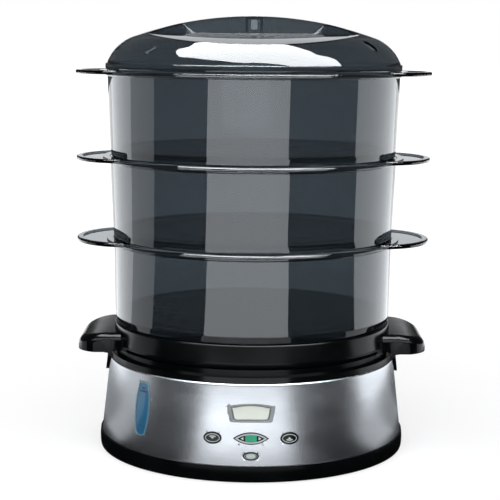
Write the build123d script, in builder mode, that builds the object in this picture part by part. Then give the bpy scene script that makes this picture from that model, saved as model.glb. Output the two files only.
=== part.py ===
from build123d import *

import math
import os

os.makedirs("parts", exist_ok=True)

# Three-tier electric food steamer.
# Millimetres, +Z up, the front faces -Y, the origin is on the table under the middle.

# ---------------------------------------------------------------- driving dimensions

# Clearances between pieces
seat_gap = 0.3
slide_gap = 0.5
button_gap = 0.4
fit_gap = 0.1
bezel_gap = 0.15
screw_gap = 0.3

# Base ring and feet
ring_bottom = 1.0
ring_radius = 137.0
ring_edge = 0.5
ring_lip = 0.8
ring_foot = 4.0
groove_gap = 0.3
groove_depth = 3.3
groove_wall = 2.8
floor_underside = 4.0
floor_thickness = 2.5
foot_radius = 9.0
foot_inset = 22.0
foot_chamfer = 0.8
grille_slot = (36.0, 3.0)
grille_pitch = 8.0
grille_rows = 5
grille_inset = 75.0

# Steel skirt, a cone
skirt_bottom = 14.5
skirt_top = 81.5
skirt_inset = 1.9
skirt_lean = 7.7
skirt_gauge = 0.8
skirt_edge = 1.2
hem_width = 6.0

# Water tank
wall = 2.5
collar_height = 5.0
collar_edge = 1.5
collar_width = 5.4
tank_rim_height = 10.5
tank_flange = 15.0
tank_draft = 7.0
tank_corner = 6.0
tank_floor_underside = 38.0
tank_opening_radius = 34.0
tongue_width = 44.0
tongue_drop = 15.0
tongue_thickness = 2.6
tongue_shoulder = 3.0

# Drip tray
tray_height = 20.7
tray_inset = 2.6
tray_lean = 2.0
tray_foot = 4.0
tray_rim_edge = 1.2
tray_rim_width = 4.6
tray_floor = 2.5
tray_step = 3.0
chimney_radius = 36.0
chimney_height = 10.0
grip_overhang = 26.6
grip_width = 96.0
grip_corner = 24.0
grip_root = 52.0
grip_top_drop = 6.0
grip_drop = 17.0
grip_fall = 6.6
grip_edge = 6.0
grip_wall = 3.2
grip_web = 6.5
grip_blend = 16.0
grip_arch = (11.0, 10.0)
grip_arch_inset = 19.5
grip_clearance = 1.0

# Bowls, from the bottom up: (height, outward draft, rim flange), then the step out from the one below
bowl_wall = 2.4
rim_height = 5.0
spigot_depth = 6.0
shoulder_rise = 6.0
ledge_height = 5.0
ledge_width = 6.0
ledge_thickness = 1.6
lower_tier = (75.0, 1.2, 1.3)
middle_tier = (72.0, 2.5, 1.4)
upper_tier = (75.3, 2.3, 1.7)
middle_step = 0.4
upper_step = -0.4
lower_inset = 2.9
upper_inset = 1.2
lug_overhang = 29.6
lug_depth = 46.0
lug_half_width = 59.0
lug_thickness = 3.5
lug_border = 5.0
lug_dish = 1.3

# Bowl floors
floor_plate = 2.0
floor_slots = 96
floor_slot_length = 9.0
floor_slot_width = 2.6
inner_slots = 30
inner_slot_length = 16.0

# Lid
lid_overlap = 0.1
lid_rim_height = 5.6
lid_lip = 1.4
lid_wall = 2.2
dome_bend_inset = 8.9
dome_bend_height = 19.6
dome_shoulder_inset = 21.7
dome_height = 46.8
crown_radius = 320.0
lid_spigot = 4.0
scoop_depth = 14.6
scoop_radius = 450.0
fin_thickness = 16.0
fin_length = 104.0
fin_rake = 2.4
fin_flare = 0.75
boss_width = 15.0
boss_proud = 3.5
boss_drop = 0.6
boss_slot = (5.5, 8.5)
boss_slot_drop = 7.0
vent_azimuth = -34.0
vent_inset = 11.7
vent_rise = 21.5
vent_turn = 25.0
vent_lean = 45.0
vent_length = 14.0
vent_width = 8.0

# Controls on the front of the skirt
panel_height = 48.0
display_height = 58.0
display_size = (39.6, 15.6)
lens_size = (31.6, 12.2)
display_rise = 2.2
display_corner = 2.6
display_taper = 0.055
bezel_back = 5.0
bezel_inset = 0.2
bezel_flare = 0.8
lens_front = 2.4
lens_thickness = 1.8
side_button_height = 37.2
side_button_offset = 31.8
side_button_size = (15.4, 10.4)
rocker_size = (29.8, 10.4)
rocker_gap = 0.6
rocker_stem = 9.0
power_button_height = 22.7
power_button_size = (13.6, 7.3)
button_travel = 0.8
button_proud = 0.7
retainer_width = 1.3
retainer_thickness = 1.5
retainer_gap = 0.2
stem_radius = 2.2
pivot_inset = 2.5
pin_radius = 1.2
pin_gap = 0.06
ear_gap = 0.7
ear_thickness = 3.0
ear_width = 7.0
lens_seat = 0.9
pipe_radius = 1.6
indicator_width = 9.6
frame_inset = 1.5
frame_thickness = 2.0
frame_half_angle = 20.0
frame_top = 73.0
frame_post_radius = 3.0
board_inset = 19.0
board_drop = 3.5
board_thickness = 1.6
board_size = (80.0, 53.0)
board_margin = 8.0
switch_size = (6.2, 6.2, 3.5)
plunger_radius = 1.6
plunger_height = 1.5
led_radius = 1.5
led_height = 5.0
buzzer_radius = 6.0
buzzer_height = 7.0
buzzer_place = (28.0, 9.0)
cutter_reach = 14.0

# Water-level window
window_azimuth = -135.0
window_height = 51.7
window_size = (18.4, 47.0)
boat_stretch = 1.5
boat_blunt = 0.87
window_flange = (26.0, 54.0)
window_corner = 3.0
window_inset = 2.2
window_thickness = 1.8
window_proud = 0.5
window_gap = 0.3
gasket_thickness = 0.8
gauge_wall = 2.5
gauge_depth = 26.0

# Heater
heater_flange_radius = 38.5
heater_dish_radius = 31.0
heater_dish_height = 2.8
heater_dish_edge = 1.5
heater_sheet = 1.2
heater_seal_thickness = 1.0
element_circle = 21.5
element_radius = 3.2
element_arc = 300.0
element_leg = 9.0
element_pin = (1.2, 17.0)
clamp_circle = 46.0
clamp_thickness = 1.5
clamp_lip = 5.0
thermostat_radius = 8.5
thermostat_height = 6.5
thermostat_step = 2.0
blade_size = (0.8, 4.8, 7.0)
blade_pitch = 8.0
fuse_radius = 1.9
fuse_length = 12.0
fuse_gap = 3.2
fuse_lead = (0.5, 4.0)
clip_sheet = 0.6
clip_width = 4.0
clip_foot = (8.0, 1.2)

# Boards, screws and cord outlet
power_board_size = (76.0, 46.0)
power_board_place = (0.0, 62.0)
transformer_size = (30.0, 26.0, 19.0)
transformer_offset = -14.0
core_size = (34.0, 16.0, 13.0)
relay_size = (19.0, 15.5, 15.5)
relay_offset = (17.0, 10.0)
terminal_size = (22.0, 11.0, 12.0)
terminal_offset = (17.0, -10.0)
terminal_pitch = 6.5
terminal_hole = (1.8, 8.0)
component_edge = 0.6
standoff_height = 6.0
standoff_radius = 3.0
boss_clear = 9.0
boss_start = 30.0
boss_radius = 4.2
boss_pad = 1.8
pad_height = 4.0
screw_radius = 1.5
screw_length = 16.0
screw_head_radius = 3.2
screw_head_height = 2.0
screw_recess = (3.6, 0.8)
bush_height = 27.0
bush_bore = 3.6
bush_neck = 6.4
bush_flange = 8.6
bush_step = 1.2
bush_flange_thickness = 2.2
bush_tail = 7.0
bush_edge = 1.0
cable_width = 14.0
cable_thickness = 0.8
cable_height = 2.5
cable_rise = 18.0
cable_offset = -20.0
cable_bend = 3.0

# ---------------------------------------------------------------- worked-out places

# Radii, from the base ring up and inwards
skirt_bottom_radius = ring_radius - skirt_inset
skirt_top_radius = skirt_bottom_radius - skirt_lean
foot_circle = ring_radius - foot_inset
tank_seat_radius = skirt_top_radius - collar_width
tank_mouth_radius = tank_seat_radius - tank_flange
tank_floor_radius = tank_mouth_radius - tank_draft
boss_circle = tank_mouth_radius + boss_clear
tray_radius = skirt_top_radius - tray_inset
tray_rim_radius = tray_radius - tray_lean
tray_mouth = tray_rim_radius - tray_rim_width
grip_reach = skirt_top_radius + grip_overhang
lug_reach = skirt_top_radius + lug_overhang
lug_centre = lug_reach - lug_depth

# Heights, from the table up
floor_top = floor_underside + floor_thickness
groove_bottom = skirt_bottom - groove_depth
steel_bottom = groove_bottom + seat_gap
collar_top = skirt_top + collar_height
tank_rim = skirt_top + tank_rim_height
tank_floor = tank_floor_underside + wall
tray_bottom = tank_rim + seat_gap
tray_rim = tray_bottom + tray_height

skirt_slope = skirt_lean / (skirt_top - skirt_bottom)
skirt_tilt = math.atan(skirt_slope)


def skirt_radius(height):
    """Radius of the skirt's outer face at a height."""
    return skirt_bottom_radius - skirt_slope * (height - skirt_bottom)


def cone_section(inset, low, high):
    """Half section of a solid cone that lies a given inset inside the skirt's face."""
    level = inset / math.cos(skirt_tilt)
    return [(0, low), (skirt_radius(low) - level, low), (skirt_radius(high) - level, high), (0, high)]


def shell_section(inset, thickness, low, high):
    """Half section of a conical shell behind the skirt's face."""
    outer = inset / math.cos(skirt_tilt)
    inner = (inset + thickness) / math.cos(skirt_tilt)
    return [
        (skirt_radius(low) - outer, low),
        (skirt_radius(high) - outer, high),
        (skirt_radius(high) - inner, high),
        (skirt_radius(low) - inner, low),
    ]


def skirt_plane(azimuth, height):
    """Plane on the skirt's face: x to the right seen from outside, y up the slope."""
    turn = math.radians(azimuth)
    radius = skirt_radius(height)
    return Plane(
        origin=(radius * math.cos(turn), radius * math.sin(turn), height),
        x_dir=(-math.sin(turn), math.cos(turn), 0),
        z_dir=(
            math.cos(turn) * math.cos(skirt_tilt),
            math.sin(turn) * math.cos(skirt_tilt),
            math.sin(skirt_tilt),
        ),
    )


def radial_plane(azimuth):
    """Upright plane through the axis: x outwards at an azimuth, y up."""
    turn = math.radians(azimuth)
    return Plane(
        origin=(0, 0, 0),
        x_dir=(math.cos(turn), math.sin(turn), 0),
        z_dir=(math.sin(turn), -math.cos(turn), 0),
    )


def up_slope(height):
    """Distance up the front panel from its middle to a height."""
    return (height - panel_height) / math.cos(skirt_tilt)


def arched_face(width, height):
    """Rounded outline with an arched top and a narrower foot, for the display and its lens."""
    arch = width**2 / (8 * display_rise) + display_rise / 2
    taper = display_taper * width
    RectangleRounded(width, height, display_corner)
    with Locations((0, height / 2 - arch)):
        Circle(arch, mode=Mode.INTERSECT)
    Polygon(
        (-width / 2, height / 2),
        (width / 2, height / 2),
        (width / 2 - taper, -height / 2),
        (taper - width / 2, -height / 2),
        align=None,
        mode=Mode.INTERSECT,
    )


def eye_face(width, height):
    """Eye shape between two arcs, its corners left sharp."""
    arc = (width**2 + height**2) / (4 * height)
    with Locations((0, height / 2 - arc)):
        Circle(arc)
    with Locations((0, arc - height / 2)):
        Circle(arc, mode=Mode.INTERSECT)


def boat_face(width, height):
    """Upright window outline: bowed sides and blunt rounded ends."""
    arc = ((boat_stretch * height) ** 2 + width**2) / (4 * width)
    Ellipse(width * boat_blunt, height / 2)
    with Locations((width / 2 - arc, 0)):
        Circle(arc, mode=Mode.INTERSECT)
    with Locations((arc - width / 2, 0)):
        Circle(arc, mode=Mode.INTERSECT)


def oval_face(width, height):
    """Ellipse of a given width and height."""
    Ellipse(width / 2, height / 2)


front = skirt_plane(-90, panel_height)
display_place = (0, up_slope(display_height))
side_slope = up_slope(side_button_height)
controls = {
    "button_left": ((-side_button_offset, side_slope), side_button_size, oval_face),
    "button_right": ((side_button_offset, side_slope), side_button_size, oval_face),
    "button_power": ((0, up_slope(power_button_height)), power_button_size, oval_face),
    "rocker_button": ((0, side_slope), rocker_size, eye_face),
}
gauge = skirt_plane(window_azimuth, window_height)
outlet = skirt_plane(90, bush_height)
heater_flange_top = tank_floor_underside - heater_seal_thickness
heater_flange_low = heater_flange_top - heater_sheet
heater_dish_top = tank_floor_underside + heater_dish_height

# ---------------------------------------------------------------- base

# The ring that the skirt stands in, closed below by a ribbed floor.
ring_mid = (ring_bottom + skirt_bottom) / 2
ring_inner = skirt_bottom_radius - skirt_gauge - groove_gap - ring_lip
groove_outer = skirt_radius(groove_bottom) + groove_gap
groove_inner = skirt_radius(skirt_bottom) - skirt_gauge / math.cos(skirt_tilt) - groove_gap
lip_inner = groove_inner - groove_wall
grille_side = ring_radius - grille_inset
standoff_grid = (power_board_size[0] - board_margin, power_board_size[1] - board_margin)
with BuildPart() as base_tray:
    with BuildSketch(Plane.XZ):
        with BuildLine():
            Polyline(
                (0, floor_underside),
                (ring_inner - 2 * ring_foot, floor_underside),
                (ring_inner - ring_foot, ring_bottom),
                (ring_radius - ring_edge, ring_bottom),
            )
            ThreePointArc(
                (ring_radius - ring_edge, ring_bottom),
                (ring_radius, ring_mid),
                (ring_radius - ring_edge, skirt_bottom),
            )
            Polyline(
                (ring_radius - ring_edge, skirt_bottom),
                (groove_outer, skirt_bottom),
                (groove_outer, groove_bottom),
                (groove_inner, groove_bottom),
                (groove_inner, skirt_bottom),
                (lip_inner, skirt_bottom),
                (lip_inner, floor_top),
                (0, floor_top),
                (0, floor_underside),
            )
        make_face()
    revolve(axis=Axis.Z)
    with BuildSketch(Plane.XY.offset(floor_top)):
        with PolarLocations(boss_circle, 4, start_angle=boss_start):
            Circle(boss_radius + boss_pad)
    extrude(amount=pad_height)
    with BuildSketch(Plane.XY.offset(floor_top)):
        with Locations(power_board_place):
            with GridLocations(*standoff_grid, 2, 2):
                Circle(standoff_radius)
    extrude(amount=standoff_height)
    with BuildSketch(Plane.XY.offset(floor_underside)):
        with PolarLocations(boss_circle, 4, start_angle=boss_start):
            Circle(screw_head_radius + slide_gap)
    extrude(amount=pad_height, mode=Mode.SUBTRACT)
    with BuildSketch(Plane.XY):
        with PolarLocations(boss_circle, 4, start_angle=boss_start):
            Circle(screw_radius + screw_gap)
        with Locations((-grille_side, 0), (grille_side, 0)):
            with GridLocations(0, grille_pitch, 1, grille_rows):
                SlotOverall(*grille_slot)
    extrude(amount=skirt_bottom, mode=Mode.SUBTRACT)
base_tray.part.label = "base_tray"
export_step(base_tray.part, "parts/base_tray.step")

# Four rubber feet under the floor.
with BuildPart() as rubber_feet:
    with PolarLocations(foot_circle, 4, start_angle=45):
        Cylinder(foot_radius, floor_underside, align=(Align.CENTER, Align.CENTER, Align.MIN))
    chamfer(rubber_feet.edges().group_by(Axis.Z)[0], foot_chamfer)
rubber_feet.part.label = "rubber_feet"
export_step(rubber_feet.part, "parts/rubber_feet.step")

# Conical steel skirt with its top edge turned in.
with BuildPart() as steel_skirt:
    with BuildSketch(Plane.XZ) as skirt_profile:
        sheet = skirt_gauge / math.cos(skirt_tilt)
        Polygon(
            (skirt_radius(steel_bottom), steel_bottom),
            (skirt_top_radius, skirt_top),
            (skirt_top_radius - hem_width, skirt_top),
            (skirt_top_radius - hem_width, skirt_top - skirt_gauge),
            (skirt_radius(skirt_top - skirt_gauge) - sheet, skirt_top - skirt_gauge),
            (skirt_radius(steel_bottom) - sheet, steel_bottom),
            align=None,
        )
        fillet(skirt_profile.vertices().sort_by_distance((skirt_top_radius, skirt_top))[0], skirt_edge)
    revolve(axis=Axis.Z)
    with BuildSketch(front.offset(-cutter_reach)):
        with Locations(display_place):
            arched_face(*display_size)
    extrude(amount=2 * cutter_reach, mode=Mode.SUBTRACT)
    for place, size, outline in controls.values():
        with BuildSketch(front.offset(-cutter_reach)):
            with Locations(place):
                outline(*size)
        extrude(amount=2 * cutter_reach, mode=Mode.SUBTRACT)
    with BuildSketch(gauge):
        boat_face(*window_size)
    extrude(amount=cutter_reach / 2, both=True, mode=Mode.SUBTRACT)
    with BuildSketch(outlet):
        Circle(bush_neck + fit_gap)
    extrude(amount=cutter_reach / 2, both=True, mode=Mode.SUBTRACT)
steel_skirt.part.label = "steel_skirt"
export_step(steel_skirt.part, "parts/steel_skirt.step")

# ---------------------------------------------------------------- water tank

# A tongue of the collar that hangs over the skirt at each side.
tongue_low = skirt_top - tongue_drop
tongue_back = groove_gap / 2
tongue_face = tongue_back + tongue_thickness
with BuildPart() as tongue:
    with BuildSketch(Plane.XZ):
        Polygon(
            (skirt_radius(tongue_low) + tongue_back, tongue_low),
            (skirt_radius(tongue_low) + tongue_face, tongue_low),
            (skirt_top_radius + tongue_face, skirt_top + collar_edge),
            (skirt_top_radius + tongue_back, collar_top - collar_edge),
            (tank_seat_radius, collar_top - collar_edge),
            (tank_seat_radius, skirt_top + tongue_back),
            (skirt_top_radius + tongue_back, skirt_top + tongue_back),
            align=None,
        )
    revolve(axis=Axis.Z)
    with BuildSketch(Plane.YZ) as tongue_outline:
        Polygon(
            (-tongue_width / 2, collar_top),
            (tongue_width / 2, collar_top),
            (tongue_width / 2, skirt_top - tongue_shoulder),
            (tongue_width / 6, tongue_low),
            (-tongue_width / 6, tongue_low),
            (-tongue_width / 2, skirt_top - tongue_shoulder),
            align=None,
        )
        fillet(tongue_outline.vertices().group_by(Axis.Y)[0], tongue_shoulder)
        fillet(tongue_outline.vertices().group_by(Axis.Y)[-2], 2 * tongue_shoulder)
    extrude(amount=2 * skirt_top_radius, mode=Mode.INTERSECT)

gauge_front = window_inset + window_thickness + gasket_thickness
boss_top = tank_rim - wall / 2
with BuildPart() as water_tank:
    with BuildSketch(Plane.XZ) as tank_profile:
        Polygon(
            (tank_opening_radius, tank_floor_underside),
            (tank_floor_radius + wall, tank_floor_underside),
            (tank_mouth_radius + wall, tank_rim - wall),
            (tank_seat_radius - wall, tank_rim - wall),
            (tank_seat_radius - wall, collar_top - wall),
            (skirt_top_radius - wall, collar_top - wall),
            (skirt_top_radius - wall, skirt_top),
            (skirt_top_radius - groove_gap, skirt_top),
            (skirt_top_radius - 2 * groove_gap, collar_top),
            (tank_seat_radius, collar_top),
            (tank_seat_radius, tank_rim),
            (tank_mouth_radius, tank_rim),
            (tank_floor_radius, tank_floor),
            (tank_opening_radius, tank_floor),
            align=None,
        )
        corner = tank_profile.vertices()
        fillet(corner.sort_by_distance((tank_floor_radius, tank_floor))[0], tank_corner)
        outer_corner = corner.sort_by_distance((tank_floor_radius + wall, tank_floor_underside))[0]
        fillet(outer_corner, tank_corner + wall)
        fillet(corner.sort_by_distance((skirt_top_radius, collar_top))[0], collar_edge)
        fillet(corner.sort_by_distance((tank_seat_radius, tank_rim))[0], tray_rim_edge)
    revolve(axis=Axis.Z)
    add(tongue.part)
    add(tongue.part.mirror(Plane.YZ))
    with BuildSketch(Plane.XY.offset(floor_top + pad_height)):
        with PolarLocations(boss_circle, 4, start_angle=boss_start):
            Circle(boss_radius)
            Circle(screw_radius, mode=Mode.SUBTRACT)
    extrude(amount=boss_top - floor_top - pad_height)
    with BuildSketch(gauge.offset(-gauge_front)):
        RectangleRounded(*window_flange, window_corner)
    extrude(amount=-gauge_depth)
    with BuildSketch(Plane.XZ):
        Polygon(
            (0, tank_floor),
            (tank_floor_radius - fit_gap, tank_floor),
            (tank_floor_radius, tank_floor + fit_gap),
            (tank_mouth_radius, tank_rim),
            (0, tank_rim),
            align=None,
        )
    revolve(axis=Axis.Z, mode=Mode.SUBTRACT)
    with BuildSketch(gauge.offset(-gauge_front)):
        Rectangle(window_flange[0] - 2 * gauge_wall, window_flange[1] - 2 * gauge_wall)
    extrude(amount=gauge_wall - gauge_depth, mode=Mode.SUBTRACT)
    with BuildSketch(gauge.offset(-gauge_front - gauge_wall)):
        with Locations((0, window_flange[1] / 6)):
            Rectangle(window_flange[0] / 2, window_flange[1] / 2)
    extrude(amount=-gauge_depth, mode=Mode.SUBTRACT)
    with BuildSketch(Plane.XY.offset(heater_flange_low)):
        with PolarLocations(clamp_circle, 3, start_angle=30):
            Circle(boss_radius)
    extrude(amount=tank_floor_underside - heater_flange_low + wall / 2)
    with BuildSketch(Plane.XY.offset(heater_flange_low)):
        with PolarLocations(clamp_circle, 3, start_angle=30):
            Circle(screw_radius)
    extrude(amount=tank_floor_underside - heater_flange_low + wall / 2, mode=Mode.SUBTRACT)
water_tank.part.label = "water_tank"
export_step(water_tank.part, "parts/water_tank.step")

# Screws through the base into the tank's long bosses.
with BuildPart() as housing_screws:
    head_low = floor_underside + pad_height - screw_head_height
    with BuildSketch(Plane.XY.offset(head_low)):
        with PolarLocations(boss_circle, 4, start_angle=boss_start):
            Circle(screw_head_radius)
    extrude(amount=screw_head_height)
    with BuildSketch(Plane.XY.offset(floor_underside + pad_height)):
        with PolarLocations(boss_circle, 4, start_angle=boss_start):
            Circle(screw_radius)
    extrude(amount=screw_length)
    with BuildSketch(Plane.XY.offset(head_low)):
        with PolarLocations(boss_circle, 4, start_angle=boss_start):
            Rectangle(*screw_recess)
            Rectangle(*reversed(screw_recess))
    extrude(amount=screw_head_height / 2, mode=Mode.SUBTRACT)
housing_screws.part.label = "housing_screws"
export_step(housing_screws.part, "parts/housing_screws.step")

# Cord bush in the back of the skirt: outer flange, neck and inner flange round one bore.
with BuildPart() as cord_bush:
    bush_inner = bush_flange - bush_step
    bush_back = skirt_gauge + groove_gap
    with BuildSketch(outlet.offset(bezel_inset)):
        Circle(bush_flange)
    extrude(amount=bush_flange_thickness)
    fillet(cord_bush.edges().group_by(SortBy.DISTANCE)[-1], bush_edge)
    with BuildSketch(outlet.offset(-bush_back)):
        Circle(bush_neck)
    extrude(amount=bush_back + bezel_inset)
    with BuildSketch(outlet.offset(-bush_back)):
        Circle(bush_inner)
    extrude(amount=-bush_tail)
    with BuildSketch(outlet):
        Circle(bush_bore)
    extrude(amount=2 * bush_flange, both=True, mode=Mode.SUBTRACT)
cord_bush.part.label = "cord_bush"
export_step(cord_bush.part, "parts/cord_bush.step")

# ---------------------------------------------------------------- heater

with BuildPart() as heater_plate:
    with BuildSketch(Plane.XZ) as plate_profile:
        Polygon(
            (0, heater_dish_top),
            (heater_dish_radius, heater_dish_top),
            (heater_dish_radius, heater_flange_top),
            (heater_flange_radius, heater_flange_top),
            (heater_flange_radius, heater_flange_low),
            (heater_dish_radius - heater_sheet, heater_flange_low),
            (heater_dish_radius - heater_sheet, heater_dish_top - heater_sheet),
            (0, heater_dish_top - heater_sheet),
            align=None,
        )
        dish_edge = plate_profile.vertices().sort_by_distance((heater_dish_radius, heater_dish_top))[0]
        fillet(dish_edge, heater_dish_edge)
    revolve(axis=Axis.Z)
heater_plate.part.label = "heater_plate"
export_step(heater_plate.part, "parts/heater_plate.step")

with BuildPart() as heater_seal:
    with BuildSketch(Plane.XZ):
        Polygon(
            (heater_dish_radius + fit_gap, heater_flange_top),
            (heater_flange_radius, heater_flange_top),
            (heater_flange_radius, tank_floor_underside),
            (tank_opening_radius - fit_gap, tank_floor_underside),
            (tank_opening_radius - fit_gap, tank_floor),
            (heater_dish_radius + fit_gap, tank_floor),
            align=None,
        )
    revolve(axis=Axis.Z)
heater_seal.part.label = "heater_seal"
export_step(heater_seal.part, "parts/heater_seal.step")

# Sheathed element: an open ring under the plate with two cold legs.
element_height = heater_dish_top - heater_sheet - fit_gap - element_radius
element_start = 90 + (360 - element_arc) / 2
with BuildPart() as heating_element:
    with Locations((0, 0, element_height)):
        Torus(element_circle, element_radius, major_angle=element_arc, rotation=(0, 0, element_start))
    for azimuth in (element_start, element_start + element_arc):
        turn = math.radians(azimuth)
        with Locations((element_circle * math.cos(turn), element_circle * math.sin(turn), element_height)):
            Sphere(element_radius)
            Cylinder(element_radius, element_leg, align=(Align.CENTER, Align.CENTER, Align.MAX))
            Cylinder(*element_pin, align=(Align.CENTER, Align.CENTER, Align.MAX))
heating_element.part.label = "heating_element"
export_step(heating_element.part, "parts/heating_element.step")

with BuildPart() as heater_clamp:
    with BuildSketch(Plane.XY.offset(heater_flange_low)):
        Circle(clamp_circle + boss_radius)
        Circle(heater_flange_radius - clamp_lip, mode=Mode.SUBTRACT)
        with PolarLocations(clamp_circle, 3, start_angle=30):
            Circle(screw_radius + screw_gap, mode=Mode.SUBTRACT)
    extrude(amount=-clamp_thickness)
heater_clamp.part.label = "heater_clamp"
export_step(heater_clamp.part, "parts/heater_clamp.step")

with BuildPart() as clamp_screws:
    with BuildSketch(Plane.XY.offset(heater_flange_low - clamp_thickness)):
        with PolarLocations(clamp_circle, 3, start_angle=30):
            Circle(screw_head_radius)
    extrude(amount=-screw_head_height)
    with BuildSketch(Plane.XY.offset(heater_flange_low - clamp_thickness)):
        with PolarLocations(clamp_circle, 3, start_angle=30):
            Circle(screw_radius)
    extrude(amount=clamp_thickness + tank_floor_underside - heater_flange_low + wall / 2)
clamp_screws.part.label = "clamp_screws"
export_step(clamp_screws.part, "parts/clamp_screws.step")

# Boil-dry thermostat with two blades, against the middle of the plate.
plate_under = heater_dish_top - heater_sheet
with BuildPart() as thermostat:
    with BuildSketch(Plane.XY.offset(plate_under)):
        Circle(thermostat_radius)
    extrude(amount=-thermostat_step)
    with BuildSketch(Plane.XY.offset(plate_under - thermostat_step)):
        Circle(thermostat_radius - thermostat_step / 2)
    extrude(amount=thermostat_step - thermostat_height)
    with BuildSketch(Plane.XY.offset(plate_under - thermostat_height)):
        with GridLocations(blade_pitch, 0, 2, 1):
            Rectangle(blade_size[0], blade_size[1])
    extrude(amount=-blade_size[2])
thermostat.part.label = "thermostat"
export_step(thermostat.part, "parts/thermostat.step")

fuse_place = (0, -thermostat_radius - fuse_radius - fuse_gap, plate_under - fuse_radius - clip_sheet)
with BuildPart() as thermal_fuse:
    with Locations(fuse_place):
        Cylinder(fuse_radius, fuse_length, rotation=(0, 90, 0))
        Cylinder(fuse_lead[0], fuse_length + 2 * fuse_lead[1], rotation=(0, 90, 0))
thermal_fuse.part.label = "thermal_fuse"
export_step(thermal_fuse.part, "parts/thermal_fuse.step")

with BuildPart() as fuse_clip:
    with Locations(fuse_place):
        Cylinder(fuse_radius + clip_sheet, clip_width, rotation=(0, 90, 0))
        with Locations((0, 0, fuse_radius)):
            Box(clip_width, *clip_foot)
        Cylinder(fuse_radius + fit_gap / 2, 2 * clip_width, rotation=(0, 90, 0), mode=Mode.SUBTRACT)
fuse_clip.part.label = "fuse_clip"
export_step(fuse_clip.part, "parts/fuse_clip.step")

# ---------------------------------------------------------------- power electronics

board_low = floor_top + standoff_height
board_top = board_low + board_thickness
with BuildPart() as power_board:
    with BuildSketch(Plane.XY.offset(board_low)):
        with Locations(power_board_place):
            Rectangle(*power_board_size)
            with GridLocations(*standoff_grid, 2, 2):
                Circle(screw_radius, mode=Mode.SUBTRACT)
    extrude(amount=board_thickness)
power_board.part.label = "power_board"
export_step(power_board.part, "parts/power_board.step")

with BuildPart() as board_screws:
    with BuildSketch(Plane.XY.offset(board_top)):
        with Locations(power_board_place):
            with GridLocations(*standoff_grid, 2, 2):
                Circle(screw_head_radius - button_gap)
    extrude(amount=screw_head_height)
board_screws.part.label = "board_screws"
export_step(board_screws.part, "parts/board_screws.step")

with BuildPart() as transformer:
    with Locations((power_board_place[0] + transformer_offset, power_board_place[1], board_top)):
        Box(*transformer_size, align=(Align.CENTER, Align.CENTER, Align.MIN))
        with Locations((0, 0, transformer_size[2] / 2)):
            Box(*core_size)
    chamfer(transformer.edges().filter_by(Axis.Z), component_edge)
transformer.part.label = "transformer"
export_step(transformer.part, "parts/transformer.step")

relay_x = power_board_place[0] + relay_offset[0]
relay_y = power_board_place[1] + relay_offset[1]
with BuildPart() as relay:
    with Locations((relay_x, relay_y, board_top)):
        Box(*relay_size, align=(Align.CENTER, Align.CENTER, Align.MIN))
    chamfer(relay.faces().sort_by(Axis.Z)[-1].edges(), component_edge)
relay.part.label = "relay"
export_step(relay.part, "parts/relay.step")

terminal_x = power_board_place[0] + terminal_offset[0]
terminal_y = power_board_place[1] + terminal_offset[1]
with BuildPart() as terminal_block:
    with Locations((terminal_x, terminal_y, board_top)):
        Box(*terminal_size, align=(Align.CENTER, Align.CENTER, Align.MIN))
        with Locations((0, 0, terminal_size[2])):
            with GridLocations(terminal_pitch, 0, 3, 1):
                Cylinder(*terminal_hole, align=(Align.CENTER, Align.CENTER, Align.MAX), mode=Mode.SUBTRACT)
terminal_block.part.label = "terminal_block"
export_step(terminal_block.part, "parts/terminal_block.step")

# ---------------------------------------------------------------- front controls

board_middle = up_slope(panel_height) - board_drop
post_grid = (board_size[0] - board_margin, board_size[1] - board_margin)
frame_back = frame_inset + frame_thickness
retainer_inset = frame_back + retainer_gap
stem_end = board_inset - switch_size[2] - plunger_height - button_travel - retainer_gap
pivot_depth = frame_back + pivot_inset
ear_middle = rocker_size[1] / 2 + ear_gap + ear_thickness / 2
rocker_back = pivot_depth + frame_inset
lens_face = (lens_size[0] - bezel_inset, lens_size[1] - bezel_inset)
pivot_plane = Plane(
    origin=front.from_local_coords((0, side_slope, -pivot_depth)),
    x_dir=(1, 0, 0),
    z_dir=(0, math.sin(skirt_tilt), math.cos(skirt_tilt)),
)


def sunk(across, height, inset):
    """Depth below the front panel's plane of the cone face that lies an inset inside the skirt."""
    radius = skirt_radius(height) - inset
    return inset + radius - math.sqrt(radius**2 - across**2)


# Moulded frame behind the skirt: it guides the buttons and carries the control board.
with BuildPart() as control_frame:
    with BuildSketch(front.offset(-board_inset)):
        with Locations((0, board_middle)):
            with GridLocations(*post_grid, 2, 2):
                Circle(frame_post_radius)
    extrude(amount=board_inset - frame_inset)
    with BuildSketch(front.offset(-pivot_depth - ear_thickness)):
        with Locations((0, side_slope + ear_middle), (0, side_slope - ear_middle)):
            Rectangle(ear_width, ear_thickness)
    extrude(amount=pivot_depth)
    with BuildSketch(Plane.XZ):
        Polygon(*cone_section(frame_inset + frame_thickness / 2, 0, skirt_top), align=None)
    revolve(axis=Axis.Z, mode=Mode.INTERSECT)
    with BuildSketch(radial_plane(-90 - frame_half_angle)):
        Polygon(*shell_section(frame_inset, frame_thickness, skirt_bottom + seat_gap, frame_top), align=None)
    revolve(axis=Axis.Z, revolution_arc=2 * frame_half_angle)
    with BuildSketch(front.offset(-cutter_reach)):
        with Locations(display_place):
            arched_face(display_size[0] + button_gap, display_size[1] + button_gap)
    extrude(amount=2 * cutter_reach, mode=Mode.SUBTRACT)
    for place, size, outline in controls.values():
        with BuildSketch(front.offset(-cutter_reach)):
            with Locations(place):
                outline(*size)
        extrude(amount=2 * cutter_reach, mode=Mode.SUBTRACT)
    with BuildSketch(pivot_plane.offset(-ear_middle - ear_thickness)):
        Circle(pin_radius + pin_gap)
    extrude(amount=2 * (ear_middle + ear_thickness), mode=Mode.SUBTRACT)
control_frame.part.label = "control_frame"
export_step(control_frame.part, "parts/control_frame.step")

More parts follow.
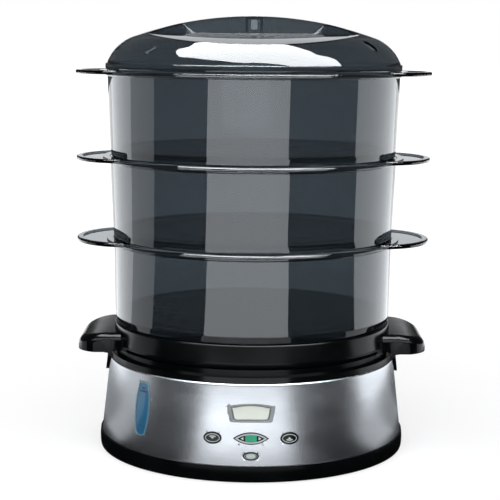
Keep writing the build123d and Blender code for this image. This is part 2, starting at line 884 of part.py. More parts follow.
# Three push buttons: a domed cap, a retaining flange behind the frame and a stem.
for name in ("button_left", "button_right", "button_power"):
    place, size, outline = controls[name]
    height = panel_height + place[1] * math.cos(skirt_tilt)
    across = abs(place[0]) + size[0] / 2 + retainer_width
    depth = sunk(across, height, retainer_inset) + retainer_thickness
    with BuildPart() as button:
        with BuildSketch(front.offset(-depth)):
            with Locations(place):
                outline(size[0] + 2 * retainer_width, size[1] + 2 * retainer_width)
        extrude(amount=depth + stem_radius)
        with BuildSketch(Plane.XZ):
            Polygon(*cone_section(retainer_inset, 0, skirt_top), align=None)
        revolve(axis=Axis.Z, mode=Mode.INTERSECT)
        with BuildSketch(front.offset(-depth)):
            with Locations(place):
                outline(size[0] - 2 * button_gap, size[1] - 2 * button_gap)
        extrude(amount=depth + stem_radius)
        with BuildSketch(Plane.XZ):
            Polygon(*cone_section(-button_proud, 0, skirt_top), align=None)
        revolve(axis=Axis.Z, mode=Mode.INTERSECT)
        with BuildSketch(front.offset(-stem_end)):
            with Locations(place):
                Circle(stem_radius)
        extrude(amount=stem_end - depth + retainer_thickness / 2)
    button.part.label = name
    export_step(button.part, f"parts/{name}.step")

# Eye-shaped rocker on two pins, with a stem each side and a seat for the green lens.
with BuildPart() as rocker_button:
    with BuildSketch(front.offset(-rocker_back)):
        with Locations((0, side_slope)):
            eye_face(rocker_size[0] - 2 * rocker_gap, rocker_size[1] - 2 * rocker_gap)
    extrude(amount=rocker_back + stem_radius)
    with BuildSketch(Plane.XZ):
        Polygon(*cone_section(-button_proud, 0, skirt_top), align=None)
    revolve(axis=Axis.Z, mode=Mode.INTERSECT)
    with BuildSketch(front.offset(-lens_seat)):
        with Locations((0, side_slope)):
            Rectangle(indicator_width, rocker_size[1])
    extrude(amount=lens_seat + stem_radius, mode=Mode.SUBTRACT)
    with BuildSketch(front.offset(-stem_end)):
        with Locations((-rocker_stem, side_slope), (rocker_stem, side_slope)):
            Circle(stem_radius - button_gap)
    extrude(amount=stem_end - pivot_depth - frame_inset / 2)
    with BuildSketch(pivot_plane.offset(-ear_middle - ear_thickness / 2)):
        Circle(pin_radius)
    extrude(amount=2 * ear_middle + ear_thickness)
    with BuildSketch(front.offset(-rocker_back)):
        with Locations((0, side_slope)):
            Circle(pipe_radius + fit_gap)
    extrude(amount=rocker_back, mode=Mode.SUBTRACT)
rocker_button.part.label = "rocker_button"
export_step(rocker_button.part, "parts/rocker_button.step")

with BuildPart() as indicator_lens:
    with BuildSketch(front.offset(-lens_seat)):
        with Locations((0, side_slope)):
            eye_face(rocker_size[0] - 2 * rocker_gap, rocker_size[1] - 2 * rocker_gap)
            Rectangle(indicator_width, rocker_size[1], mode=Mode.INTERSECT)
    extrude(amount=lens_seat + stem_radius)
    with BuildSketch(Plane.XZ):
        Polygon(*cone_section(-button_proud, 0, skirt_top), align=None)
    revolve(axis=Axis.Z, mode=Mode.INTERSECT)
    with BuildSketch(front.offset(-rocker_back - stem_radius)):
        with Locations((0, side_slope)):
            Circle(pipe_radius)
    extrude(amount=rocker_back + stem_radius - lens_seat)
indicator_lens.part.label = "indicator_lens"
export_step(indicator_lens.part, "parts/indicator_lens.step")

# Display: a bezel with flared sides, its lens and the module behind.
with BuildPart() as display_bezel:
    with BuildSketch(front.offset(-bezel_back)):
        with Locations(display_place):
            arched_face(display_size[0] - 2 * bezel_gap, display_size[1] - 2 * bezel_gap)
    extrude(amount=2 * bezel_back)
    with BuildSketch(Plane.XZ):
        Polygon(*cone_section(bezel_inset, 0, skirt_top), align=None)
    revolve(axis=Axis.Z, mode=Mode.INTERSECT)
    with BuildSketch(front.offset(-bezel_back)):
        with Locations(display_place):
            arched_face(*lens_size)
    extrude(amount=2 * bezel_back, mode=Mode.SUBTRACT)
    with BuildSketch(front.offset(-lens_front)):
        with Locations(display_place):
            Rectangle(lens_size[0], lens_size[1] - lens_front)
    with BuildSketch(front.offset(bezel_inset)):
        with Locations(display_place):
            Rectangle(display_size[0] - 2 * bezel_flare, lens_size[1] + bezel_inset)
    loft(mode=Mode.SUBTRACT)
display_bezel.part.label = "display_bezel"
export_step(display_bezel.part, "parts/display_bezel.step")

with BuildPart() as display_lens:
    with BuildSketch(front.offset(-lens_front)):
        with Locations(display_place):
            arched_face(*lens_face)
    extrude(amount=-lens_thickness)
    chamfer(display_lens.faces().sort_by(Axis.Y)[0].edges(), ring_edge)
display_lens.part.label = "display_lens"
export_step(display_lens.part, "parts/display_lens.step")

with BuildPart() as lcd_module:
    with BuildSketch(front.offset(-board_inset)):
        with Locations(display_place):
            Rectangle(*lens_size)
    extrude(amount=board_inset - bezel_back - bezel_inset)
    with BuildSketch(front.offset(-bezel_back - bezel_inset)):
        with Locations(display_place):
            Rectangle(lens_size[0] - 2 * lens_thickness, lens_size[1] - 2 * lens_front)
    extrude(amount=2 * bezel_inset)
lcd_module.part.label = "lcd_module"
export_step(lcd_module.part, "parts/lcd_module.step")

with BuildPart() as control_board:
    with BuildSketch(front.offset(-board_inset)):
        with Locations((0, board_middle)):
            Rectangle(*board_size)
    extrude(amount=-board_thickness)
control_board.part.label = "control_board"
export_step(control_board.part, "parts/control_board.step")

switch_places = [controls[name][0] for name in ("button_left", "button_right", "button_power")]
switch_places += [(-rocker_stem, side_slope), (rocker_stem, side_slope)]
with BuildPart() as tact_switches:
    with BuildSketch(front.offset(-board_inset)):
        with Locations(*switch_places):
            Rectangle(switch_size[0], switch_size[1])
    extrude(amount=switch_size[2])
    with BuildSketch(front.offset(-board_inset + switch_size[2])):
        with Locations(*switch_places):
            Circle(plunger_radius)
    extrude(amount=plunger_height)
tact_switches.part.label = "tact_switches"
export_step(tact_switches.part, "parts/tact_switches.step")

with BuildPart() as indicator_led:
    with BuildSketch(front.offset(-board_inset)):
        with Locations((0, side_slope)):
            Circle(led_radius)
    extrude(amount=led_height)
    fillet(indicator_led.edges().sort_by(Axis.Y)[0], led_radius / 2)
indicator_led.part.label = "indicator_led"
export_step(indicator_led.part, "parts/indicator_led.step")

with BuildPart() as buzzer:
    with BuildSketch(front.offset(-board_inset)):
        with Locations((buzzer_place[0], board_middle + buzzer_place[1])):
            Circle(buzzer_radius)
    extrude(amount=buzzer_height)
    with BuildSketch(front.offset(buzzer_height - board_inset)):
        with Locations((buzzer_place[0], board_middle + buzzer_place[1])):
            Circle(buzzer_radius / 5)
    extrude(amount=-buzzer_height / 4, mode=Mode.SUBTRACT)
buzzer.part.label = "buzzer"
export_step(buzzer.part, "parts/buzzer.step")

# Flat cable from the control board's back, along the floor, up to the power board.
cable_low = floor_top + cable_height
cable_high = cable_low + cable_rise
cable_top = board_top + cable_thickness / 2 + screw_gap * 2
cable_start = -(skirt_radius(cable_high) - board_inset - board_thickness - cable_height)
cable_end = power_board_place[1] - power_board_size[1] / 2
with BuildPart() as ribbon_cable:
    with BuildSketch(Plane.YZ.offset(cable_offset)):
        with BuildLine() as cable_line:
            FilletPolyline(
                (cable_start, cable_high),
                (cable_start + 2 * cable_height + cable_bend, cable_high),
                (cable_start + cable_width, cable_low),
                (cable_end - 3 * cable_bend, cable_low),
                (cable_end - cable_bend, cable_top),
                (cable_end + cable_bend, cable_top),
                radius=cable_bend,
            )
        trace(line_width=cable_thickness)
    extrude(amount=cable_width / 2, both=True)
ribbon_cable.part.label = "ribbon_cable"
export_step(ribbon_cable.part, "parts/ribbon_cable.step")

# ---------------------------------------------------------------- water-level window

with BuildPart() as level_window:
    with BuildSketch(gauge.offset(-window_inset - window_thickness)):
        RectangleRounded(*window_flange, window_corner)
    extrude(amount=window_thickness)
    with BuildSketch(gauge.offset(-window_inset - window_thickness)):
        boat_face(window_size[0] - 2 * window_gap, window_size[1] - 2 * window_gap)
    extrude(amount=2 * (window_inset + window_thickness))
    with BuildSketch(Plane.XZ):
        Polygon(*cone_section(-window_proud, 0, skirt_top), align=None)
    revolve(axis=Axis.Z, mode=Mode.INTERSECT)
level_window.part.label = "level_window"
export_step(level_window.part, "parts/level_window.step")

with BuildPart() as window_gasket:
    with BuildSketch(gauge.offset(-gauge_front)):
        RectangleRounded(*window_flange, window_corner)
        Rectangle(window_flange[0] - 2 * gauge_wall, window_flange[1] - 2 * gauge_wall, mode=Mode.SUBTRACT)
    extrude(amount=gasket_thickness)
window_gasket.part.label = "window_gasket"
export_step(window_gasket.part, "parts/window_gasket.step")

# ---------------------------------------------------------------- drip tray

grip_top = tray_rim - grip_top_drop
grip_low = grip_top - grip_drop
web_low = grip_low - grip_web
grip_inner = tray_rim_radius - grip_root
grip_clear = skirt_top_radius + tongue_face + grip_clearance
arch_middle = grip_reach - grip_arch_inset
blend_end = math.sqrt((tray_rim_radius + grip_blend) ** 2 - (grip_width / 2 + grip_blend) ** 2)
blend_start = blend_end * tray_rim_radius / (tray_rim_radius + grip_blend)


def grip_form(shrink):
    """Solid of the right grip, drawn in all round by a wall's thickness."""
    reach = grip_reach - shrink
    top = grip_top - shrink
    tip = top - grip_fall
    fall_start = grip_reach - 2 * grip_edge - grip_blend - grip_wall
    with BuildPart() as form:
        with BuildSketch(Plane.XY.offset(web_low)):
            with Locations(((grip_inner + reach) / 2, 0)):
                RectangleRounded(reach - grip_inner, grip_width - 2 * shrink, grip_corner - shrink)
        extrude(amount=grip_top - web_low)
        with BuildSketch(Plane.XZ):
            with BuildLine():
                Polyline((fall_start, top), (0, top), (0, web_low), (reach, web_low), (reach, tip))
                ThreePointArc(
                    (reach, tip),
                    ((fall_start + reach) / 2 + grip_wall, top - grip_fall / 3),
                    (fall_start, top),
                )
            make_face()
        extrude(amount=grip_width, both=True, mode=Mode.INTERSECT)
        rim = form.edges().filter_by(lambda edge: edge.center().Z > tip - grip_wall)
        rim = rim.filter_by(lambda edge: edge.center().X > grip_inner + grip_wall)
        crease = rim.sort_by_distance((fall_start, 0, top))[0]
        fillet([edge for edge in rim if edge != crease], grip_edge - shrink)
    return form.part


# What is cut away below and inside both grips: the collar's room, the concave web and the arches.
with BuildPart() as grip_room:
    add(grip_form(grip_wall))
    with BuildSketch(Plane.XY.offset(web_low)):
        Circle(tray_radius)
    extrude(amount=grip_top - web_low, mode=Mode.SUBTRACT)
    with BuildSketch(Plane.XZ):
        with BuildLine():
            Polyline(
                (arch_middle - grip_arch[0] / 2, grip_low),
                (grip_reach, grip_low),
                (grip_reach, web_low),
                (tank_seat_radius, web_low),
            )
            ThreePointArc(
                (tank_seat_radius, web_low),
                (arch_middle - grip_arch[0], grip_low - grip_web / 3),
                (arch_middle - grip_arch[0] / 2, grip_low),
            )
        make_face()
    extrude(amount=grip_width, both=True)
    with BuildSketch(Plane.XZ):
        with Locations((arch_middle, grip_low)):
            SlotOverall(2 * grip_arch[1], grip_arch[0], rotation=90)
    extrude(amount=grip_width, both=True)

# Ring dish with a steam chimney and two hollow grips.
with BuildPart() as drip_tray:
    add(grip_form(0))
    with BuildSketch(Plane.XY.offset(tray_bottom)) as blend:
        Circle(tray_rim_radius)
        with Locations(((grip_inner + grip_reach) / 2, 0)):
            RectangleRounded(grip_reach - grip_inner, grip_width, grip_corner)
        root_x = math.sqrt(tray_rim_radius**2 - grip_width**2 / 4)
        for root_y in (-grip_width / 2, grip_width / 2):
            fillet(blend.vertices().sort_by_distance((root_x, root_y))[0], grip_blend)
        with Locations(((blend_start + blend_end) / 2, 0)):
            Rectangle(blend_end - blend_start, 2 * grip_width, mode=Mode.INTERSECT)
    extrude(amount=grip_top - grip_edge - tray_bottom)
    add(grip_room.part, mode=Mode.SUBTRACT)
    add(drip_tray.part.mirror(Plane.YZ))
    with BuildSketch(Plane.XZ) as tray_profile:
        Polygon(
            (0, tray_bottom),
            (tray_radius - tray_foot, tray_bottom),
            (tray_radius, tray_bottom + tray_foot),
            (tray_rim_radius, tray_rim),
            (0, tray_rim),
            align=None,
        )
        corner = tray_profile.vertices()
        fillet(corner.sort_by_distance((tray_radius, tray_bottom + tray_foot))[0], tray_foot)
        fillet(corner.sort_by_distance((tray_rim_radius, tray_rim))[0], tray_rim_edge)
    revolve(axis=Axis.Z)
    with BuildSketch(Plane.XZ):
        Polygon(
            (chimney_radius + tray_floor, tray_bottom + tray_floor),
            (tray_radius - 2 * tray_floor, tray_bottom + tray_floor),
            (tray_radius - tray_floor, tray_bottom + tray_floor + tray_step),
            (tray_radius - tray_floor, tray_rim - spigot_depth - tray_step - tray_rim_edge),
            (tray_mouth, tray_rim - spigot_depth - tray_rim_edge),
            (tray_mouth, tray_rim + tray_floor),
            (0, tray_rim + tray_floor),
            (0, tray_bottom + tray_floor + chimney_height),
            (chimney_radius + tray_floor, tray_bottom + tray_floor + chimney_height),
            align=None,
        )
    revolve(axis=Axis.Z, mode=Mode.SUBTRACT)
    with BuildSketch(Plane.XY.offset(web_low)):
        Circle(chimney_radius)
    extrude(amount=tray_height + grip_drop, mode=Mode.SUBTRACT)
    with BuildSketch(Plane.XY.offset(web_low)):
        Circle(grip_clear)
    extrude(amount=tray_bottom - web_low, mode=Mode.SUBTRACT)
drip_tray.part.label = "drip_tray"
export_step(drip_tray.part, "parts/drip_tray.step")

# ---------------------------------------------------------------- bowls and their floors



def tier(name, below, mouth, low, size, inset):
    """One bowl's name, the rim it sits on, its own rim, its radii, shoulder inset and the mouth below."""
    height, draft, flange = size
    return (name, below, below + height, (low, low + draft, low + draft + flange), inset, mouth)


lower = tier("lower", tray_rim, tray_mouth, tray_rim_radius, lower_tier, lower_inset)
lower_wall = lower[3][1]
middle = tier("middle", lower[2], lower_wall - bowl_wall, lower_wall + middle_step, middle_tier, upper_inset)
middle_wall = middle[3][1]
upper = tier("upper", middle[2], middle_wall - bowl_wall, middle_wall + upper_step, upper_tier, upper_inset)
upper_wall = upper[3][1]
upper_edge = upper[3][2]
upper_rim_top = upper[2]
for name, below, rim, (low, high, edge), inset, mouth in (lower, middle, upper):
    base = below + seat_gap
    spigot = mouth - slide_gap
    spigot_inner = spigot - bowl_wall
    ledge = low - bowl_wall - ledge_width
    with BuildPart() as bowl:
        with BuildSketch(Plane.XZ):
            with BuildLine():
                Polyline((spigot_inner, below - spigot_depth), (spigot, below - spigot_depth), (spigot, base))
                Line((spigot, base), (low - inset, base))
                ThreePointArc(
                    (low - inset, base),
                    (low - inset / 4, base + shoulder_rise / 2),
                    (low, base + shoulder_rise),
                )
                Polyline(
                    (low, base + shoulder_rise),
                    (high, rim - rim_height),
                    (edge, rim - rim_height),
                    (edge, rim),
                    (high - bowl_wall, rim),
                    (low - bowl_wall, base + ledge_height),
                    (ledge, base + ledge_height),
                    (ledge, base + ledge_height - ledge_thickness),
                    (spigot_inner, base + ledge_height - ledge_thickness),
                    (spigot_inner, below - spigot_depth),
                )
            make_face()
        revolve(axis=Axis.Z)
        with BuildSketch(Plane.XY.offset(rim - lug_thickness)):
            with Locations((-lug_centre, 0), (lug_centre, 0)):
                Ellipse(lug_reach - lug_centre, lug_half_width)
            Circle(edge - ring_edge, mode=Mode.SUBTRACT)
        extrude(amount=lug_thickness)
        with BuildSketch(Plane.XY.offset(rim - lug_dish)):
            with Locations((-lug_centre, 0), (lug_centre, 0)):
                Ellipse(lug_reach - lug_centre - lug_border, lug_half_width - lug_border)
            Circle(edge + lug_border, mode=Mode.SUBTRACT)
        extrude(amount=lug_dish, mode=Mode.SUBTRACT)
    bowl.part.label = f"bowl_{name}"
    export_step(bowl.part, f"parts/bowl_{name}.step")

    plate_radius = low - bowl_wall - slide_gap
    with BuildPart() as floor:
        with BuildSketch(Plane.XY.offset(base + ledge_height + seat_gap)):
            Circle(plate_radius)
            with PolarLocations(ledge - floor_slot_length / 2 - ledge_thickness, floor_slots):
                Rectangle(floor_slot_length, floor_slot_width, mode=Mode.SUBTRACT)
            with PolarLocations(ledge - 2 * inner_slot_length, inner_slots):
                Rectangle(inner_slot_length, floor_slot_width, mode=Mode.SUBTRACT)
            with PolarLocations(ledge / 3, inner_slots // 2):
                Rectangle(inner_slot_length, floor_slot_width, mode=Mode.SUBTRACT)
        extrude(amount=floor_plate)
    floor.part.label = f"floor_{name}"
    export_step(floor.part, f"parts/floor_{name}.step")

# ---------------------------------------------------------------- lid

lid_seat = upper_rim_top + seat_gap
lid_radius = upper_edge + lid_overlap
lid_mouth = upper_wall - bowl_wall - slide_gap
lid_rim_top = lid_seat + lid_rim_height
lid_top = lid_seat + dome_height
dome_corner = lid_radius - lid_lip
dome_start = lid_seat + lid_wall
vent_circle = dome_corner - vent_inset


def scoop_form(shrink):
    """Cutter of the back scoop: raked at the fin's ends, bowed below, flared to the sides."""
    half = fin_thickness / 2 - shrink
    rake = math.sqrt(1 + fin_flare**2 + (fin_flare * fin_rake) ** 2)
    scoop_top = lid_top - scoop_depth - shrink
    far = 2 * lid_radius
    with BuildPart() as scoop:
        for level in (scoop_top - scoop_depth, lid_top + scoop_depth):
            end = fin_length / 2 + fin_rake * (level - scoop_top - shrink) + shrink * (rake - 1) / fin_flare
            wing = half + fin_flare * (far - end)
            with BuildSketch(Plane.XY.offset(level)):
                Polygon(
                    (-end, half),
                    (end, half),
                    (far, wing),
                    (far, far + wing),
                    (-far, far + wing),
                    (-far, wing),
                    align=None,
                )
        loft(ruled=True)
        with BuildSketch(Plane.YZ):
            with Locations((0, scoop_top - scoop_radius)):
                Circle(scoop_radius)
        extrude(amount=2 * far, both=True, mode=Mode.SUBTRACT)
    return scoop.part


def lid_form(shrink):
    """Solid of the lid's dome with both scoops cut, drawn in all round by a wall's thickness."""
    crown = crown_radius - shrink
    crown_centre = lid_top - crown_radius
    crown_angle = math.degrees(math.asin((dome_corner - dome_shoulder_inset) / crown_radius))
    shoulder = (
        crown * math.sin(math.radians(crown_angle)),
        crown_centre + crown * math.cos(math.radians(crown_angle)),
    )
    bend_shrink = shrink * math.sin(math.radians(vent_lean))
    scoop = scoop_form(shrink)
    with BuildPart() as form:
        with BuildSketch(Plane.XZ):
            with BuildLine():
                CenterArc((0, crown_centre), crown, 90 - crown_angle, crown_angle)
                Polyline(
                    (0, lid_top - shrink),
                    (0, dome_start),
                    (dome_corner - shrink, dome_start),
                    (dome_corner - shrink, lid_rim_top),
                )
                ThreePointArc(
                    (dome_corner - shrink, lid_rim_top),
                    (dome_corner - dome_bend_inset - bend_shrink, lid_seat + dome_bend_height - bend_shrink),
                    shoulder,
                )
            make_face()
        revolve(axis=Axis.Z)
        add(scoop, mode=Mode.SUBTRACT)
        add(scoop.mirror(Plane.XZ), mode=Mode.SUBTRACT)
        with BuildSketch(Plane.XY.offset(dome_start)):
            Rectangle(boss_width - 2 * shrink, fin_thickness + 2 * boss_proud - 2 * shrink)
        extrude(amount=lid_top - boss_drop - shrink - dome_start)
    return form.part


# Clear lid: the dome with a hollow fin between two scoops, a rim and steam vents.
dome_outside = lid_form(0)
dome_inside = lid_form(lid_wall)
with BuildPart() as lid:
    add(dome_outside)
    with BuildSketch(Plane.XZ):
        Polygon(
            (lid_mouth - lid_wall, lid_seat - lid_spigot),
            (lid_mouth, lid_seat - lid_spigot),
            (lid_mouth, lid_seat),
            (lid_radius, lid_seat),
            (lid_radius, lid_rim_top),
            (0, lid_rim_top),
            (0, dome_start),
            (lid_mouth - lid_wall, dome_start),
            align=None,
        )
    revolve(axis=Axis.Z)
    add(dome_inside, mode=Mode.SUBTRACT)
    for azimuth in (vent_azimuth, vent_azimuth + 180):
        turn = math.radians(azimuth)
        lean = math.radians(vent_lean)
        vent = Plane(
            origin=(vent_circle * math.cos(turn), vent_circle * math.sin(turn), lid_seat + vent_rise),
            x_dir=(math.cos(turn) * math.cos(lean), math.sin(turn) * math.cos(lean), -math.sin(lean)),
            z_dir=(math.cos(turn) * math.sin(lean), math.sin(turn) * math.sin(lean), math.cos(lean)),
        )
        with BuildSketch(vent):
            SlotOverall(vent_length, vent_width, rotation=vent_turn)
        extrude(amount=vent_width, both=True, mode=Mode.SUBTRACT)
    with BuildSketch(Plane.XZ):
        with Locations((0, lid_top - boss_slot_drop)):
            RectangleRounded(*boss_slot, lid_rim_height / 5)
    extrude(amount=fin_thickness, both=True, mode=Mode.SUBTRACT)
lid.part.label = "lid"
export_step(lid.part, "parts/lid.step")
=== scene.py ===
"""Looks of a three-tier electric food steamer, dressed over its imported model."""

import logging
import math
from collections.abc import Iterator, Sequence
from contextlib import contextmanager
from dataclasses import dataclass, field
from enum import Enum

import bpy
from mathutils import Matrix, Vector


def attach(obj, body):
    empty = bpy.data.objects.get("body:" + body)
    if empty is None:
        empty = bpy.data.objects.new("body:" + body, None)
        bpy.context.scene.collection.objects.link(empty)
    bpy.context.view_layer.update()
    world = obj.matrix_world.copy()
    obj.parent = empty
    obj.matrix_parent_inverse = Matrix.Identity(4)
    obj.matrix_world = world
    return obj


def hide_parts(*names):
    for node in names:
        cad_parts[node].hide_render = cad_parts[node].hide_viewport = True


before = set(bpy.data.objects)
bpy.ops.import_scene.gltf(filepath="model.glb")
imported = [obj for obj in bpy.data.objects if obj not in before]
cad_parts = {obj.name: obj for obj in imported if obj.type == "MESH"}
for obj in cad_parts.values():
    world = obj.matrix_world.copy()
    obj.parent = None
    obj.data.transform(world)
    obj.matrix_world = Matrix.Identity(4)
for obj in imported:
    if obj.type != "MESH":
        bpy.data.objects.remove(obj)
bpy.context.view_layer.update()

MM = 0.001
STEPS = 192
# Points nearer than these are one point: along a drawn chain, and on a finished solid.
CHAIN_MERGE = MM * 0.001
SOLID_MERGE = MM * 0.002
# A hole with no more sides than this is a sliver lost in merging.
SLIVER_SIDES = 6
# How squarely a face has to point one way to count as facing it.
FACING = 0.99
# Height in millimetres of the solids that cut or keep all above them.
TALL = 400.0
# The noise texture's octave share, and the part of its values that carries the pattern.
NOISE_ROUGHNESS = 0.55
NOISE_LOW, NOISE_HIGH = 0.3, 0.7
# How far a finish's roughness strays from its middle.
ROUGHNESS_SPREAD = 0.03
UPRIGHT = Matrix(((1, 0, 0, 0), (0, 0, -1, 0), (0, 1, 0, 0), (0, 0, 0, 1)))
SIDEWAYS = Matrix(((0, 0, 1, 0), (1, 0, 0, 0), (0, 1, 0, 0), (0, 0, 0, 1)))
LOG = logging.getLogger("steamer")
Outline = Sequence[tuple[float, ...]]


# ---------------------------------------------------------------- shapes


def deselect() -> None:
    """Leave nothing selected."""
    bpy.ops.object.select_all(action="DESELECT")


def pick(piece: bpy.types.Object) -> None:
    """Make one object the selected and active one."""
    deselect()
    piece.select_set(True)
    bpy.context.view_layer.objects.active = piece


@contextmanager
def editing(piece: bpy.types.Object) -> Iterator[None]:
    """Open an object in edit mode with all its vertices selected.

    Args:
        piece: the mesh object to edit.
    """
    pick(piece)
    bpy.ops.object.mode_set(mode="EDIT")
    bpy.ops.mesh.select_mode(type="VERT")
    bpy.ops.mesh.select_all(action="SELECT")
    try:
        yield
    finally:
        bpy.ops.object.mode_set(mode="OBJECT")


def rounded(corners: Outline, steps: int = 5) -> list[tuple[float, float]]:
    """Round the corners of an outline.

    Args:
        corners: points of two numbers, or three where the third is the corner's radius.
        steps: straight pieces in each rounded corner.

    Returns:
        The outline's points, two numbers each.
    """
    points: list[tuple[float, float]] = []
    for index, corner in enumerate(corners):
        here = Vector(corner[:2])
        if len(corner) < 3:
            points.append((here.x, here.y))
            continue
        back = (Vector(corners[index - 1][:2]) - here).normalized()
        ahead = (Vector(corners[(index + 1) % len(corners)][:2]) - here).normalized()
        half = back.angle(ahead) / 2
        reach = corner[2] / math.tan(half)
        centre = here + (back + ahead).normalized() * (corner[2] / math.sin(half))
        first, last = here + back * reach - centre, here + ahead * reach - centre
        for step in range(steps + 1):
            point = centre + first.slerp(last, step / steps).normalized() * corner[2]
            points.append((point.x, point.y))
    return points


def rounded_box(
    half: float, side: float, middle: float, corner: float, steps: int = 5
) -> list[tuple[float, float]]:
    """Rectangle with rounded corners, by its half width, half height and the height of its middle."""
    low, high = middle - side, middle + side
    corners = [(-half, low, corner), (half, low, corner), (half, high, corner), (-half, high, corner)]
    return rounded(corners, steps)


def arc_points(
    centre: Sequence[float], radius: float, start: float, end: float, steps: int
) -> list[tuple[float, float]]:
    """Points along an arc, its ends included, with angles in degrees."""
    turns = [math.radians(start + (end - start) * step / steps) for step in range(steps + 1)]
    return [(centre[0] + radius * math.cos(t), centre[1] + radius * math.sin(t)) for t in turns]


def circle_through(start: Vector, middle: Vector, end: Vector) -> tuple[Vector, float]:
    """Centre and radius of the circle through three points."""
    ax, ay, bx, by = *(middle - start), *(end - start)
    cross = 2 * (ax * by - ay * bx)
    first, second = ax**2 + ay**2, bx**2 + by**2
    centre = start + Vector(((by * first - ay * second) / cross, (ax * second - bx * first) / cross))
    return centre, (start - centre).length


def arc_through(start: Vector, middle: Vector, end: Vector, steps: int) -> list[tuple[float, float]]:
    """Points of the arc of less than half a turn through three points, its ends included."""
    centre, radius = circle_through(start, middle, end)
    first, last = (math.degrees(math.atan2(*(point - centre).yx)) for point in (start, end))
    turn = (last - first + 180) % 360 - 180
    return arc_points(centre, radius, first, first + turn, steps)


def traced(name: str, points: Sequence[Vector]) -> bpy.types.Object:
    """Draw a chain of edges by pulling one vertex from point to point.

    Args:
        name: the new object's name.
        points: the chain's points in metres.

    Returns:
        The object that holds the chain.
    """
    deselect()
    bpy.ops.mesh.primitive_plane_add(size=MM, location=(0, 0, 0))
    piece = bpy.context.object
    piece.name = piece.data.name = name
    with editing(piece):
        bpy.ops.mesh.merge(type="CENTER")
        bpy.ops.transform.translate(value=points[0])
        for start, end in zip(points, points[1:]):
            bpy.ops.mesh.extrude_region_move(TRANSFORM_OT_translate={"value": end - start})
        bpy.ops.mesh.select_all(action="SELECT")
        bpy.ops.mesh.remove_doubles(threshold=CHAIN_MERGE)
    return piece


def turned(name: str, outline: Outline, steps: int = STEPS) -> bpy.types.Object:
    """Spin an outline of radius and height round the upright axis.

    Args:
        name: the new object's name.
        outline: points in millimetres; it is closed unless both its ends lie on the axis.
        steps: facets round the axis.

    Returns:
        A closed mesh with its faces pointing outwards.
    """
    points = [Vector((r * MM, 0, z * MM)) for r, z in outline]
    if outline[0][0] > 0 or outline[-1][0] > 0:
        points.append(points[0])
    piece = traced(name, points)
    with editing(piece):
        bpy.ops.mesh.spin(steps=steps, angle=math.tau, center=(0, 0, 0), axis=(0, 0, 1))
        bpy.ops.mesh.select_all(action="SELECT")
        bpy.ops.mesh.remove_doubles(threshold=SOLID_MERGE)
        bpy.ops.mesh.normals_make_consistent(inside=False)
    return piece


def prism(
    name: str, outline: Outline, low: float, high: float, place: Matrix | None = None
) -> bpy.types.Object:
    """Raise a flat outline into a solid.

    Args:
        name: the new object's name.
        outline: points in millimetres in the place's own x and y.
        low: height of its lower face in millimetres.
        high: height of its upper face in millimetres.
        place: where the solid stands; none leaves it on the world's axes.

    Returns:
        A closed mesh with its faces pointing outwards.
    """
    points = [Vector((x * MM, y * MM, low * MM)) for x, y in outline]
    piece = traced(name, [*points, points[0]])
    with editing(piece):
        bpy.ops.mesh.edge_face_add()
        bpy.ops.mesh.extrude_region_move(TRANSFORM_OT_translate={"value": (0, 0, (high - low) * MM)})
        bpy.ops.mesh.select_all(action="SELECT")
        bpy.ops.mesh.normals_make_consistent(inside=False)
    if place is not None:
        seat(piece, place)
    return piece


def core(radius: float, low: float = 0.0, high: float = TALL) -> bpy.types.Object:
    """Round solid about the upright axis, to cut away or keep all within a radius."""
    return turned("core_tool", [(0, low), (radius, low), (radius, high), (0, high)])


def seat(piece: bpy.types.Object, place: Matrix) -> None:
    """Move a piece to its place and put the move into its mesh."""
    pick(piece)
    piece.matrix_world = place
    bpy.ops.object.transform_apply(location=True, rotation=True, scale=True)


def finish_modifier(piece: bpy.types.Object, kind: str, **settings: object) -> None:
    """Add a modifier with its settings and apply it."""
    pick(piece)
    modifier = piece.modifiers.new(kind.lower(), kind)
    for key, value in settings.items():
        setattr(modifier, key, value)
    bpy.ops.object.modifier_apply(modifier=modifier.name)


class Join(Enum):
    """How a second solid works on a first."""

    CUT = "DIFFERENCE"
    ADD = "UNION"
    KEEP = "INTERSECT"


def combine(piece: bpy.types.Object, other: bpy.types.Object, how: Join, keep: bool = False) -> None:
    """Cut, add or intersect with another solid, which is then removed unless it is kept."""
    finish_modifier(piece, "BOOLEAN", object=other, operation=how.value, solver="EXACT")
    if not keep:
        bpy.data.objects.remove(other)


def mirrored(piece: bpy.types.Object, axis: int) -> bpy.types.Object:
    """Copy a piece to the other side of the origin along one axis."""
    pick(piece)
    bpy.ops.object.duplicate()
    copy = bpy.context.object
    copy.name = f"{piece.name}_other"
    scale = [1.0, 1.0, 1.0]
    scale[axis] = -1.0
    seat(copy, Matrix.Diagonal((*scale, 1.0)))
    with editing(copy):
        bpy.ops.mesh.normals_make_consistent(inside=False)
    return copy


def softened(piece: bpy.types.Object, width: float, segments: int = 3, angle: float = 40.0) -> None:
    """Round all edges sharper than an angle by a width in millimetres."""
    finish_modifier(
        piece,
        "BEVEL",
        width=width * MM,
        segments=segments,
        limit_method="ANGLE",
        angle_limit=math.radians(angle),
        use_clamp_overlap=True,
        harden_normals=False,
    )


